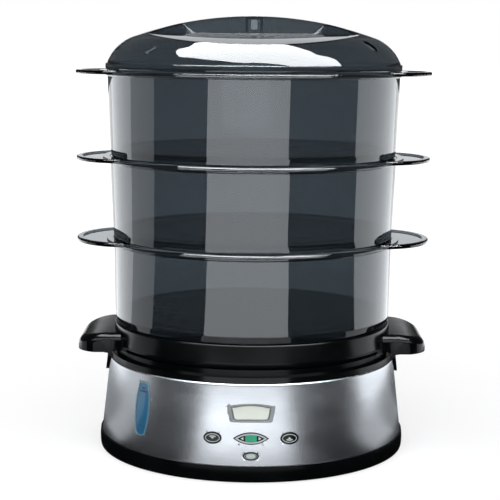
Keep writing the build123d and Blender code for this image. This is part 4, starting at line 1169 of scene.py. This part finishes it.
@dataclass
class DripTray:
    """Black ring dish with two hollow grips and a steam chimney.

    The arch recessed in the front of each grip is given by its width and height.
    """

    low: float = 92.3
    high: float = 113.0
    radius: float = 124.8
    rim_radius: float = 122.8
    mouth: float = 118.2
    floor: float = 2.5
    chimney: float = 36.0
    chimney_top: float = 104.8
    grip_inner: float = 70.8
    grip_reach: float = 154.0
    grip_width: float = 96.0
    grip_corner: float = 24.0
    grip_low: float = 90.0
    grip_top: float = 107.0
    grip_web: float = 6.5
    grip_fall: float = 6.6
    fall_start: float = 122.8
    grip_edge: float = 6.0
    grip_wall: float = 3.2
    grip_joint: float = 121.5
    grip_slices: int = 14
    blend: float = 16.0
    overlap: float = 4.0
    root_inner: float = 100.0
    arch: tuple[float, float] = (11.0, 10.0)
    arch_middle: float = 134.5
    arch_depth: float = 1.6
    seat_radius: float = 122.0
    clearance: float = 131.15
    tool_low: float = 60.0
    tool_high: float = 120.0
    tool_half: float = 60.0
    tool_span: tuple[float, float] = (90.0, 170.0)
    foot_chamfer: tuple[float, float] = (3.5, 4.0)
    mouth_depth: float = 7.0
    mouth_taper: float = 3.0
    floor_round: tuple[float, float] = (2.5, 3.0)
    edge: float = 0.7

    def wing(self, name: str, inset: float) -> bpy.types.Object:
        """Solid of one grip with a rounded, falling top, drawn in all round by an inset."""
        half, corner = self.grip_width / 2 - inset, self.grip_corner - inset
        far, top = self.grip_reach - inset, self.grip_top - inset
        near = self.grip_inner
        plan = rounded([(near, -half), (far, -half, corner), (far, half, corner), (near, half)], 14)
        wing = prism(name, plan, self.grip_low - 3 * self.grip_web, top)
        soften_faces(wing, Vector((0, 0, 1)), self.grip_edge - inset, 6)
        start, end = Vector((self.fall_start, top)), Vector((far, top - self.grip_fall))
        middle = Vector(((start.x + far) / 2 + self.grip_wall, top - self.grip_fall / 3))
        centre, radius = circle_through(start, middle, end)
        with editing(wing):
            for step in range(self.grip_slices):
                cut = self.fall_start + (far - self.fall_start) * step / self.grip_slices
                bpy.ops.mesh.select_all(action="SELECT")
                bpy.ops.mesh.bisect(plane_co=(cut * MM, 0, 0), plane_no=(1, 0, 0))
        # Vertices of one slice share an x, told apart here to a fifth of a millimetre.
        slices: dict[int, list[int]] = {}
        for vertex in wing.data.vertices:
            if vertex.co.x > (self.fall_start + 0.1) * MM and vertex.co.z > self.grip_low * MM:
                slices.setdefault(round(vertex.co.x / MM * 5), []).append(vertex.index)
        for place, members in slices.items():
            drop = top - centre.y - math.sqrt(radius**2 - (place / 5 - centre.x) ** 2)
            with editing(wing):
                bpy.ops.mesh.select_all(action="DESELECT")
                bpy.ops.object.mode_set(mode="OBJECT")
                for index in members:
                    wing.data.vertices[index].select = True
                bpy.ops.object.mode_set(mode="EDIT")
                bpy.ops.transform.translate(value=(0, 0, -drop * MM))
        return wing

    def root(self, side: int) -> bpy.types.Object:
        """Upright blend between a grip's wall and the dish."""
        centre = Vector((0, self.grip_width / 2 + self.blend))
        centre.x = math.sqrt((self.rim_radius + self.blend) ** 2 - centre.y**2)
        meet = math.degrees(math.atan2(centre.y, centre.x))
        curve = arc_points(centre, self.blend, 180 + meet, 270, 10)
        inside = self.grip_width / 2 - self.overlap
        outline = [(x, side * y) for x, y in [*curve, (centre.x, inside), (self.root_inner, inside)]]
        return prism("root_tool", outline, self.low, self.grip_top - self.grip_edge)

    def grip(self) -> bpy.types.Object:
        """One hollow grip with an arch recessed in its front and a web, cut to meet the dish's wall."""
        grip = self.wing("grip_tool", 0.0)
        for side in (-1, 1):
            combine(grip, self.root(side), Join.ADD)
        combine(grip, core(self.grip_joint, self.tool_low, self.tool_high), Join.CUT)
        hollow = self.wing("hollow_tool", self.grip_wall)
        combine(hollow, core(self.radius, self.tool_low, self.tool_high), Join.CUT)
        combine(grip, hollow, Join.CUT)
        start = Vector((self.seat_radius, self.grip_low - self.grip_web))
        middle = Vector((self.arch_middle - self.arch[0], self.grip_low - self.grip_web / 3))
        end = Vector((self.arch_middle - self.arch[0] / 2, self.grip_low))
        near, far = self.tool_span
        web = [
            *arc_through(start, middle, end, 8),
            (far, self.grip_low),
            (far, self.tool_low),
            (near, self.tool_low),
            (near, start.y),
        ]
        combine(grip, prism("web_tool", web, -self.tool_half, self.tool_half, UPRIGHT), Join.CUT)
        half, up = self.arch[0] / 2, self.grip_low + self.arch[1] - self.arch[0] / 2
        top = arc_points((self.arch_middle, up), half, 0, 180, 14)
        arch = [*top, (self.arch_middle - half, self.tool_low), (self.arch_middle + half, self.tool_low)]
        front = self.grip_width / 2 - self.arch_depth
        combine(grip, prism("arch_tool", arch, front, self.tool_half, UPRIGHT), Join.CUT)
        combine(grip, core(self.clearance, self.tool_low, self.low), Join.CUT)
        return grip

    def build(self) -> None:
        """Turn the dish, add both grips and round the edges."""
        wall = self.radius - self.floor
        chamfer, rise = self.foot_chamfer
        inset, up = self.floor_round
        shelf = self.high - self.mouth_depth
        dish = turned(
            "drip_tray_moulding",
            rounded(
                [
                    (self.chimney, self.low, 0.8),
                    (self.radius - chamfer, self.low, 1.5),
                    (self.radius, self.low + rise, 4),
                    (self.rim_radius, self.high, 1.6),
                    (self.mouth, self.high, 1.0),
                    (self.mouth, shelf, 0.8),
                    (wall, shelf - self.mouth_taper),
                    (wall, self.low + self.floor + up, 2.5),
                    (wall - inset, self.low + self.floor, 1.5),
                    (self.chimney + self.floor, self.low + self.floor, 2),
                    (self.chimney + self.floor, self.chimney_top, 1.0),
                    (self.chimney, self.chimney_top, 1.0),
                ]
            ),
        )
        right = self.grip()
        left = mirrored(right, 0)
        combine(dish, right, Join.ADD)
        combine(dish, left, Join.ADD)
        softened(dish, self.edge, angle=38)
        smooth(dish)
        place_piece(dish, BLACK_PP, "tray", "black_plastic", "drip_tray")


@dataclass
class SteamBowl:
    """Clear bowl ring: spigot, ledge, tapered wall, rim and two dished lugs."""

    name: str
    body: str
    below: float
    rim: float
    low: float
    high: float
    edge: float
    inset: float
    mouth: float
    wall: float = 2.4
    seat_gap: float = 0.3
    slide_gap: float = 0.5
    spigot_depth: float = 6.0
    rise: float = 6.0
    ledge_height: float = 5.0
    ledge_width: float = 6.0
    ledge_thickness: float = 1.6
    rim_height: float = 5.0
    lug_centre: float = 111.0
    lug_reach: float = 157.0
    lug_half_width: float = 59.0
    lug_thickness: float = 3.5
    lug_border: float = 5.0
    lug_dish: float = 1.3
    lug_top_edge: float = 1.3
    lug_low_edge: float = 0.9
    lug_bite: float = 0.8

    def outline(self) -> list[tuple[float, float]]:
        """Section of the ring."""
        base = self.below + self.seat_gap
        spigot = self.mouth - self.slide_gap
        inner = spigot - self.wall
        ledge = self.low - self.wall - self.ledge_width
        top = base + self.ledge_height
        return rounded(
            [
                (inner, self.below - self.spigot_depth, 0.6),
                (spigot, self.below - self.spigot_depth, 0.9),
                (spigot, base, 0.2),
                (self.low - self.inset * 0.6, base, 1.6),
                (self.low, base + self.rise, 4.0),
                (self.high, self.rim - self.rim_height, 0.6),
                (self.edge, self.rim - self.rim_height, 0.7),
                (self.edge, self.rim, 3.0),
                (self.high - self.wall, self.rim, 0.9),
                (self.low - self.wall, top, 0.6),
                (ledge, top, 0.5),
                (ledge, top - self.ledge_thickness, 0.5),
                (inner, top - self.ledge_thickness, 0.8),
            ],
            4,
        )

    def lug_outline(self, inset: float) -> list[tuple[float, float]]:
        """Ellipse of a lug, drawn in by an inset."""
        across = 2 * (self.lug_reach - self.lug_centre - inset)
        return [(x + self.lug_centre, y) for x, y in oval(across, 2 * (self.lug_half_width - inset), 96)]

    def lug(self) -> bpy.types.Object:
        """One elliptical lug with a dished top, cut to meet the rim."""
        lug = prism("lug_tool", self.lug_outline(0.0), self.rim - self.lug_thickness, self.rim)
        soften_faces(lug, Vector((0, 0, 1)), self.lug_top_edge, 3)
        soften_faces(lug, Vector((0, 0, -1)), self.lug_low_edge, 3)
        dish = prism("dish_tool", self.lug_outline(self.lug_border), self.rim - self.lug_dish, self.rim + 2)
        combine(dish, core(self.edge + self.lug_border), Join.CUT)
        combine(lug, dish, Join.CUT)
        combine(lug, core(self.edge - self.lug_bite), Join.CUT)
        return lug

    def build(self) -> None:
        """Turn the ring and add both lugs."""
        ring = turned(f"{self.name}_clear", self.outline())
        right = self.lug()
        left = mirrored(right, 0)
        combine(ring, right, Join.ADD)
        combine(ring, left, Join.ADD)
        smooth(ring)
        # The bowl's deepened tint is partly painted shade.
        place_piece(ring, SAN_SMOKE_AND_PAINTED_SHADE, self.body, "clear_plastic", self.name)


@dataclass
class Lid:
    """Clear domed lid with a hollow fin between two scoops, a boss and two steam vents."""

    seat: float = 335.6
    radius: float = 130.6
    rim_height: float = 5.6
    wall: float = 2.2
    mouth: float = 125.9
    spigot: float = 4.0
    corner: float = 129.2
    bend: tuple[float, float] = (120.3, 19.6)
    bend_lean: float = 45.0
    shoulder: float = 107.5
    crown: float = 320.0
    height: float = 46.8
    scoop_depth: float = 14.6
    scoop_radius: float = 700.0
    scoop_sweep: float = 15.0
    scoop_tool: tuple[float, float] = (200.0, 90.0)
    fin: float = 16.0
    fin_length: float = 104.0
    rake: float = 2.4
    flare: float = 0.75
    boss: tuple[float, float] = (15.0, 3.5)
    boss_drop: float = 0.6
    boss_slot: tuple[float, float] = (5.5, 8.5)
    boss_slot_drop: float = 7.4
    boss_slot_corner: float = 1.1
    vent_size: tuple[float, float] = (14.0, 8.0)
    vent_azimuth: float = -34.0
    vent_radius: float = 117.5
    vent_rise: float = 21.5
    vent_lean: float = 45.0
    vent_turn: float = 25.0
    vent_reach: float = 8.0
    outer_edge: float = 1.6
    inner_edge: float = 0.9
    overlap: float = 2.0
    rim_inset: float = 2.5
    opening: tuple[float, float, float] = (123.7, 300.0, 338.2)

    def dome(self, shrink: float) -> list[tuple[float, float]]:
        """Section of the dome, drawn in by a wall's thickness, from the axis down to the rim."""
        top = self.seat + self.height
        centre = top - self.crown
        crown = self.crown - shrink
        reach = math.degrees(math.asin(self.shoulder / self.crown))
        cap = arc_points((0, centre), crown, 90, 90 - reach, 18)
        cap[0] = (0.0, cap[0][1])
        start = Vector(cap[-1])
        drop = shrink * math.sin(math.radians(self.bend_lean))
        middle = Vector((self.bend[0] - drop, self.seat + self.bend[1] - drop))
        end = Vector((self.corner - shrink, self.seat + self.rim_height))
        return cap + arc_through(start, middle, end, 14)[1:]

    def scoop(self, shrink: float) -> bpy.types.Object:
        """Cutter of the front scoop, sliced out of a block and bowed below."""
        half = self.fin / 2 - shrink
        floor = self.seat + self.height - self.scoop_depth
        slant = math.sqrt(1 + self.flare**2 + (self.flare * self.rake) ** 2)
        end = self.fin_length / 2 + shrink * (slant - 1) / self.flare
        far = 2 * self.radius
        plan = [(-far, -far), (far, -far), (far, -half), (-far, -half)]
        cutter = prism("scoop_tool", plan, floor - 2 * self.scoop_depth, floor + 2 * self.scoop_depth)
        for way in (-1, 1):
            spot = Vector((way * end, -half, floor))
            sliced(cutter, spot, Vector((-way * self.flare, -1, self.flare * self.rake)))
        low = floor - shrink
        start, stop = 90 + self.scoop_sweep, 90 - self.scoop_sweep
        arc = arc_points((0, low - self.scoop_radius), self.scoop_radius, start, stop, 72)
        side, deep = self.scoop_tool
        under = [*arc, (side, floor - deep), (-side, floor - deep)]
        combine(cutter, prism("under_tool", under, -far - 5, far + 5, SIDEWAYS), Join.CUT)
        return cutter

    def form(self, name: str, shrink: float, edge: float) -> bpy.types.Object:
        """Solid of the dome with both scoops and the boss, drawn in by a wall's thickness."""
        low = self.seat + self.overlap
        body = turned(name, [*self.dome(shrink), (self.corner - shrink, low), (0, low)])
        front = self.scoop(shrink)
        back = mirrored(front, 1)
        combine(body, front, Join.CUT)
        combine(body, back, Join.CUT)
        half_x = self.boss[0] / 2 - shrink
        half_y = self.fin / 2 + self.boss[1] - shrink
        block = [(-half_x, -half_y), (half_x, -half_y), (half_x, half_y), (-half_x, half_y)]
        top = self.seat + self.height - self.boss_drop - shrink
        combine(body, prism("boss_tool", block, low, top), Join.ADD)
        softened(body, edge, angle=24)
        return body

    def vent(self, azimuth: float) -> bpy.types.Object:
        """Cutter of one steam vent."""
        turn = math.radians(azimuth)
        x, y = self.vent_radius * math.cos(turn), self.vent_radius * math.sin(turn)
        place = (
            Matrix.Translation(Vector((x, y, self.seat + self.vent_rise)) * MM)
            @ Matrix.Rotation(turn, 4, "Z")
            @ Matrix.Rotation(math.radians(self.vent_lean), 4, "Y")
            @ Matrix.Rotation(math.radians(self.vent_turn), 4, "Z")
        )
        half, side = (size / 2 for size in self.vent_size)
        outline = rounded_box(half, side, 0.0, side * 0.98, 8)
        return prism("vent_tool", outline, -self.vent_reach, self.vent_reach, place)

    def build(self) -> None:
        """Form the outside and the inside, join the rim and cut the vents."""
        lid = self.form("lid_clear", 0.0, self.outer_edge)
        rim_top = self.seat + self.rim_height
        rim = turned(
            "rim_tool",
            rounded(
                [
                    (self.mouth - self.wall, self.seat - self.spigot, 0.6),
                    (self.mouth, self.seat - self.spigot, 0.8),
                    (self.mouth, self.seat, 0.2),
                    (self.radius, self.seat, 1.0),
                    (self.radius, rim_top, 0.9),
                    (self.corner - self.rim_inset, rim_top),
                    (self.corner - self.rim_inset, self.seat + self.wall),
                    (self.mouth - self.wall, self.seat + self.wall, 0.6),
                ],
                4,
            ),
        )
        combine(lid, rim, Join.ADD)
        combine(lid, self.form("inside_tool", self.wall, self.inner_edge), Join.CUT)
        combine(lid, core(*self.opening), Join.CUT)
        for azimuth in (self.vent_azimuth, self.vent_azimuth + 180):
            combine(lid, self.vent(azimuth), Join.CUT)
        across, up = (size / 2 for size in self.boss_slot)
        middle = self.seat + self.height - self.boss_slot_drop
        slot = rounded_box(across, up, middle, self.boss_slot_corner)
        combine(lid, prism("slot_tool", slot, 0, self.fin, UPRIGHT), Join.CUT)
        smooth(lid)
        # The lid's deepened tint is partly painted shade.
        place_piece(lid, SAN_SMOKE_AND_PAINTED_SHADE, "cover", "clear_plastic", "lid")


@dataclass
class CarriedNodes:
    """Nodes whose own shape shows, and the finish that each takes."""

    finishes: dict[Finish, tuple[str, ...]] = field(
        default_factory=lambda: {
            BLACK_PP: ("base_tray", "water_tank", "cord_bush"),
            # The floors share the clear plastic whose deepened tint is partly painted shade.
            SAN_SMOKE_AND_PAINTED_SHADE: ("floor_lower", "floor_middle", "floor_upper"),
            RUBBER: ("rubber_feet",),
            SILICONE: ("heater_seal", "window_gasket"),
            PLAIN_ABS: ("control_frame",),
            SOLDER_MASK: ("power_board", "control_board"),
            BLACK_EPOXY: ("transformer", "thermostat", "buzzer", "tact_switches"),
            BLUE_PBT: ("relay",),
            GREEN_PA: ("terminal_block",),
            GREY_PVC: ("ribbon_cable",),
            PRESSED_ALU: ("heater_plate",),
            ANNEALED: ("heating_element", "heater_clamp", "fuse_clip"),
            ZINC: ("housing_screws", "clamp_screws", "board_screws", "thermal_fuse"),
            LCD_CELL: ("lcd_module",),
            GREEN_PMMA: ("indicator_led",),
        }
    )

    def build(self) -> None:
        """Dress each node."""
        for finish, names in self.finishes.items():
            for name in names:
                dress(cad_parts[name], finish)
                LOG.info("%s: %s", name, finish.name)


def bearings(start: float, end: float) -> list[Vector]:
    """Directions along the floor between two bearings from the front, in degrees."""
    steps = max(4, round(abs(end - start) / 6))
    turns = [math.radians(start + (end - start) * step / steps) for step in range(steps + 1)]
    return [Vector((math.sin(turn), -math.cos(turn), 0)) for turn in turns]


@dataclass(frozen=True)
class Card:
    """Flat card that only mirrors see, between two bearings and two distances.

    Bearings are in degrees from the front, positive to the right; distances are in metres.
    """

    name: str
    start: float
    end: float
    near: float
    far: float
    radiance: float

    def outline(self) -> list[Vector]:
        """Edge of the card on the floor."""
        ways = bearings(self.start, self.end)
        return [way * self.near for way in ways] + [way * self.far for way in reversed(ways)]


@dataclass(frozen=True)
class Screen:
    """Curved upright card that only mirrors see, between two bearings and two heights."""

    name: str
    start: float
    end: float
    distance: float
    low: float
    high: float
    radiance: float

    def strips(self) -> Iterator[list[Vector]]:
        """Corners of the flat strips that make up the screen."""
        ways = bearings(self.start, self.end)
        for first, last in zip(ways, ways[1:]):
            foot = [first * self.distance, last * self.distance]
            low, high = Vector((0, 0, self.low)), Vector((0, 0, self.high))
            yield [foot[0] + low, foot[1] + low, foot[1] + high, foot[0] + high]


@dataclass(frozen=True)
class Softbox:
    """Soft light: where it hangs and its size in metres, and how bright its face is."""

    name: str
    spot: tuple[float, float, float]
    size: tuple[float, float]
    radiance: float


@dataclass
class Studio:
    """White sweep, soft lights, cards that mirrors see, and the camera.

    A radiance of 1 is as bright as the white backdrop.
    """

    distance: float = 1.280
    eye_height: float = 0.359
    pitch: float = 8.19
    yaw: float = 0.10
    roll: float = 0.44
    lens: float = 103.5
    sensor: float = 36.0
    backdrop: str = "#FFFFFF"
    daylight: str = "#F4F7FA"
    cloth: str = "#F6F9FC"
    paper: str = "#F0F0F0"
    ambient: float = 0.45
    floor_size: float = 40.0
    floor_glow: float = 1.2
    sweep: tuple[float, float] = (0.35, 1.1)
    sweep_share: tuple[float, float] = (0.62, 1.0)
    room_radius: float = 8.0
    room_foot: float = 0.004
    room_radiance: float = 0.05
    card_height: float = 0.001
    aim: tuple[float, float, float] = (0.0, 0.0, 0.2)
    softboxes: tuple[Softbox, ...] = (
        Softbox("softbox_top", (-0.05, -0.25, 1.35), (0.75, 0.6), 5.0),
        Softbox("softbox_front", (-0.15, -1.6, 0.62), (1.1, 1.1), 3.0),
    )
    cards: tuple[Card, ...] = (
        Card("card_front_foot", -34, 27, 0.2, 0.55, 0.8),
        Card("card_front_near", -35, 27, 0.55, 4.0, 3.4),
        Card("card_front_far", -34, 33, 4.0, 7.8, 1.45),
        Card("flag_left", -82, -35, 0.2, 7.8, 0.01),
        Card("flag_right_near", 27, 73, 0.2, 0.55, 0.01),
        Card("flag_right_middle", 27, 86, 0.55, 4.0, 0.01),
        Card("card_right_dim", 33, 55, 4.0, 7.8, 0.8),
        Card("flag_right_far", 55, 86, 4.0, 7.8, 0.05),
        Card("card_left_near", -105, -82, 0.2, 0.55, 0.75),
        Card("card_left_last", -150, -105, 0.2, 0.55, 0.35),
        Card("card_left_middle", -110, -82, 0.55, 7.8, 1.1),
        Card("card_left_back", -150, -110, 0.55, 7.8, 2.3),
        Card("card_right_near", 73, 100, 0.2, 0.55, 0.85),
        Card("card_right_last", 100, 125, 0.2, 0.55, 0.4),
        Card("flag_right_last", 125, 150, 0.2, 0.55, 0.05),
        Card("card_right_middle", 86, 150, 0.55, 7.8, 2.3),
        Card("flag_foot_front", -90, 90, 0.137, 0.2, 0.01),
        Card("flag_foot_back", 90, 270, 0.137, 0.2, 0.01),
    )
    screens: tuple[Screen, ...] = (
        Screen("screen_front", -60, 60, 4.0, 0.6, 2.4, 5.0),
        Screen("screen_back_low", 168, 192, 5.0, 0.05, 0.95, 0.9),
        Screen("screen_back_high", 174.5, 185.5, 5.0, 0.95, 2.2, 0.9),
    )
    top_card: tuple[tuple[float, float], ...] = (
        (-0.62, 0.07),
        (-0.45, 0.1),
        (-0.36, 0.27),
        (0.175, 0.1),
        (0.36, -0.05),
        (0.59, -0.22),
        (1.0, -0.24),
        (1.35, -0.38),
        (1.2, -0.6),
        (0.7, -0.95),
        (-0.21, -0.92),
        (-0.56, -0.62),
        (-0.82, -0.24),
        (-0.72, -0.05),
    )
    top_height: float = 1.2
    top_radiance: float = 20.0

    def camera(self) -> None:
        """Stand the camera in front, looking a little down."""
        data = bpy.data.cameras.new("camera")
        data.lens = self.lens
        data.sensor_width = self.sensor
        camera = bpy.data.objects.new("camera", data)
        bpy.context.scene.collection.objects.link(camera)
        camera.matrix_world = (
            Matrix.Translation((0, -self.distance, self.eye_height))
            @ Matrix.Rotation(math.radians(self.yaw), 4, "Z")
            @ Matrix.Rotation(math.radians(90 - self.pitch), 4, "X")
            @ Matrix.Rotation(math.radians(self.roll), 4, "Z")
        )
        bpy.context.scene.camera = camera

    def seen(self, tree: bpy.types.NodeTree) -> bpy.types.NodeSocket:
        """One where the camera, a mirror or a clear piece looks at it, and zero for other light."""
        path = add_node(tree, "ShaderNodeLightPath")
        seen = path.outputs["Is Camera Ray"]
        for kind in ("Is Glossy Ray", "Is Transmission Ray"):
            either = add_node(tree, "ShaderNodeMath", {0: seen, 1: path.outputs[kind]}, operation="MAXIMUM")
            seen = either.outputs[0]
        return seen

    def cleared(self, owner: bpy.types.Material | bpy.types.World) -> bpy.types.NodeTree:
        """Switch on the nodes of a material or world and empty its tree."""
        owner.use_nodes = True
        owner.node_tree.nodes.clear()
        return owner.node_tree

    def world(self) -> None:
        """Even light all round, and a white backdrop where it is seen or mirrored."""
        world = bpy.data.worlds.new("soft_room")
        bpy.context.scene.world = world
        tree = self.cleared(world)
        light = add_node(
            tree, "ShaderNodeBackground", {"Color": linear(self.daylight), "Strength": self.ambient}
        )
        white = add_node(tree, "ShaderNodeBackground", {"Color": linear(self.backdrop), "Strength": 1.0})
        mixed = add_node(
            tree, "ShaderNodeMixShader", {0: self.seen(tree), 1: light.outputs[0], 2: white.outputs[0]}
        )
        add_node(tree, "ShaderNodeOutputWorld", {"Surface": mixed.outputs[0]})

    def floor(self) -> None:
        """Wide pale floor with a soft shadow near the steamer, which fades into the backdrop."""
        deselect()
        bpy.ops.mesh.primitive_plane_add(size=self.floor_size, location=(0, 0, 0))
        floor = bpy.context.object
        floor.name = "floor"
        made = bpy.data.materials.new("floor_paper_matt")
        tree = self.cleared(made)
        place = add_node(tree, "ShaderNodeTexCoord")
        reach = add_node(tree, "ShaderNodeVectorMath", {0: place.outputs["Object"]}, operation="LENGTH")
        near, far = self.sweep
        low, high = self.sweep_share
        fade = add_node(
            tree,
            "ShaderNodeMapRange",
            {
                "Value": reach.outputs["Value"],
                "From Min": near,
                "From Max": far,
                "To Min": low,
                "To Max": high,
            },
        )
        share = add_node(
            tree, "ShaderNodeMath", {0: self.seen(tree), 1: fade.outputs[0]}, operation="MULTIPLY"
        )
        paper = add_node(tree, "ShaderNodeBsdfDiffuse", {"Color": linear(self.paper)})
        white = add_node(
            tree, "ShaderNodeEmission", {"Color": linear(self.backdrop), "Strength": self.floor_glow}
        )
        mixed = add_node(
            tree, "ShaderNodeMixShader", {0: share.outputs[0], 1: paper.outputs[0], 2: white.outputs[0]}
        )
        add_node(tree, "ShaderNodeOutputMaterial", {"Surface": mixed.outputs[0]})
        floor.data.materials.append(made)

    def hang(self, softbox: Softbox) -> None:
        """Hang one soft light, turned to the point that all of them face."""
        data = bpy.data.lights.new(softbox.name, "AREA")
        data.shape = "RECTANGLE"
        data.size, data.size_y = softbox.size
        data.energy = softbox.radiance * math.pi * softbox.size[0] * softbox.size[1]
        light = bpy.data.objects.new(softbox.name, data)
        bpy.context.scene.collection.objects.link(light)
        spot = Vector(softbox.spot)
        turn = (Vector(self.aim) - spot).to_track_quat("-Z", "Y")
        light.matrix_world = Matrix.Translation(spot) @ turn.to_matrix().to_4x4()
        light.visible_camera = False
        light.visible_glossy = False

    def mirrored_only(self, card: bpy.types.Object, radiance: float) -> None:
        """Give a card its brightness and hide it from all but mirrors."""
        made = bpy.data.materials.new(f"{card.name}_cloth")
        tree = self.cleared(made)
        glow = add_node(tree, "ShaderNodeEmission", {"Color": linear(self.cloth), "Strength": radiance})
        add_node(tree, "ShaderNodeOutputMaterial", {"Surface": glow.outputs[0]})
        card.data.materials.append(made)
        for ray in ("camera", "diffuse", "transmission", "shadow"):
            setattr(card, f"visible_{ray}", False)

    def room(self) -> None:
        """Dark room above the floor, with the cards, the screens and the bright card overhead."""
        deselect()
        bpy.ops.mesh.primitive_uv_sphere_add(
            segments=48, ring_count=24, radius=self.room_radius, location=(0, 0, 0)
        )
        dome = bpy.context.object
        dome.name = "room_dark"
        with editing(dome):
            bpy.ops.mesh.bisect(plane_co=(0, 0, self.room_foot), plane_no=(0, 0, 1), clear_inner=True)
        self.mirrored_only(dome, self.room_radiance)
        lift = Vector((0, 0, self.card_height))
        for card in self.cards:
            self.mirrored_only(sheet(card.name, [point + lift for point in card.outline()]), card.radiance)
        for screen in self.screens:
            for index, strip in enumerate(screen.strips()):
                self.mirrored_only(sheet(f"{screen.name}_{index}", strip), screen.radiance)
        corners = [Vector((x, y, self.top_height)) for x, y in self.top_card]
        self.mirrored_only(sheet("card_top", corners), self.top_radiance)

    def build(self) -> None:
        """Set up the whole room."""
        self.camera()
        self.world()
        self.floor()
        self.room()
        for softbox in self.softboxes:
            self.hang(softbox)


def stacked(tray: DripTray) -> list[SteamBowl]:
    """The three bowls from the lowest up, each in the mouth of the piece below.

    Args:
        tray: the tray that the lowest bowl stands in.

    Returns:
        The bowls with their sizes in millimetres: the rim below and their own, the wall's radius
        at the foot and at the top, the rim's radius, the foot's draw-in and the mouth below.
    """
    low = SteamBowl("bowl_lower", "lower_bowl", tray.high, 188.0, 122.8, 124.0, 125.3, 2.9, tray.mouth)
    inner = low.high - low.wall
    middle = SteamBowl("bowl_middle", "middle_bowl", low.rim, 260.0, 124.4, 126.9, 128.3, 1.2, inner)
    inner = middle.high - middle.wall
    high = SteamBowl("bowl_upper", "upper_bowl", middle.rim, 335.3, 126.5, 128.8, 130.5, 1.2, inner)
    return [low, middle, high]


def main() -> None:
    """Build the steamer's looks and the room in order."""
    logging.basicConfig(level=logging.INFO, format="%(name)s %(message)s")
    bpy.context.scene.view_settings.view_transform = "Standard"
    Studio().build()
    skirt = Skirt()
    panel = ControlPanel(skirt)
    gauge = LevelGauge(skirt)
    shell = skirt.build([*panel.cutters(), gauge.cutter(), skirt.bush_cutter()])
    place_piece(shell, STAINLESS, "base", "stainless", "steel_skirt")
    panel.build_display()
    panel.build_buttons()
    panel.build_rocker()
    gauge.build()
    tray = DripTray()
    tray.build()
    for bowl in stacked(tray):
        bowl.build()
    Lid().build()
    CarriedNodes().build()


if __name__ == "__main__":
    main()
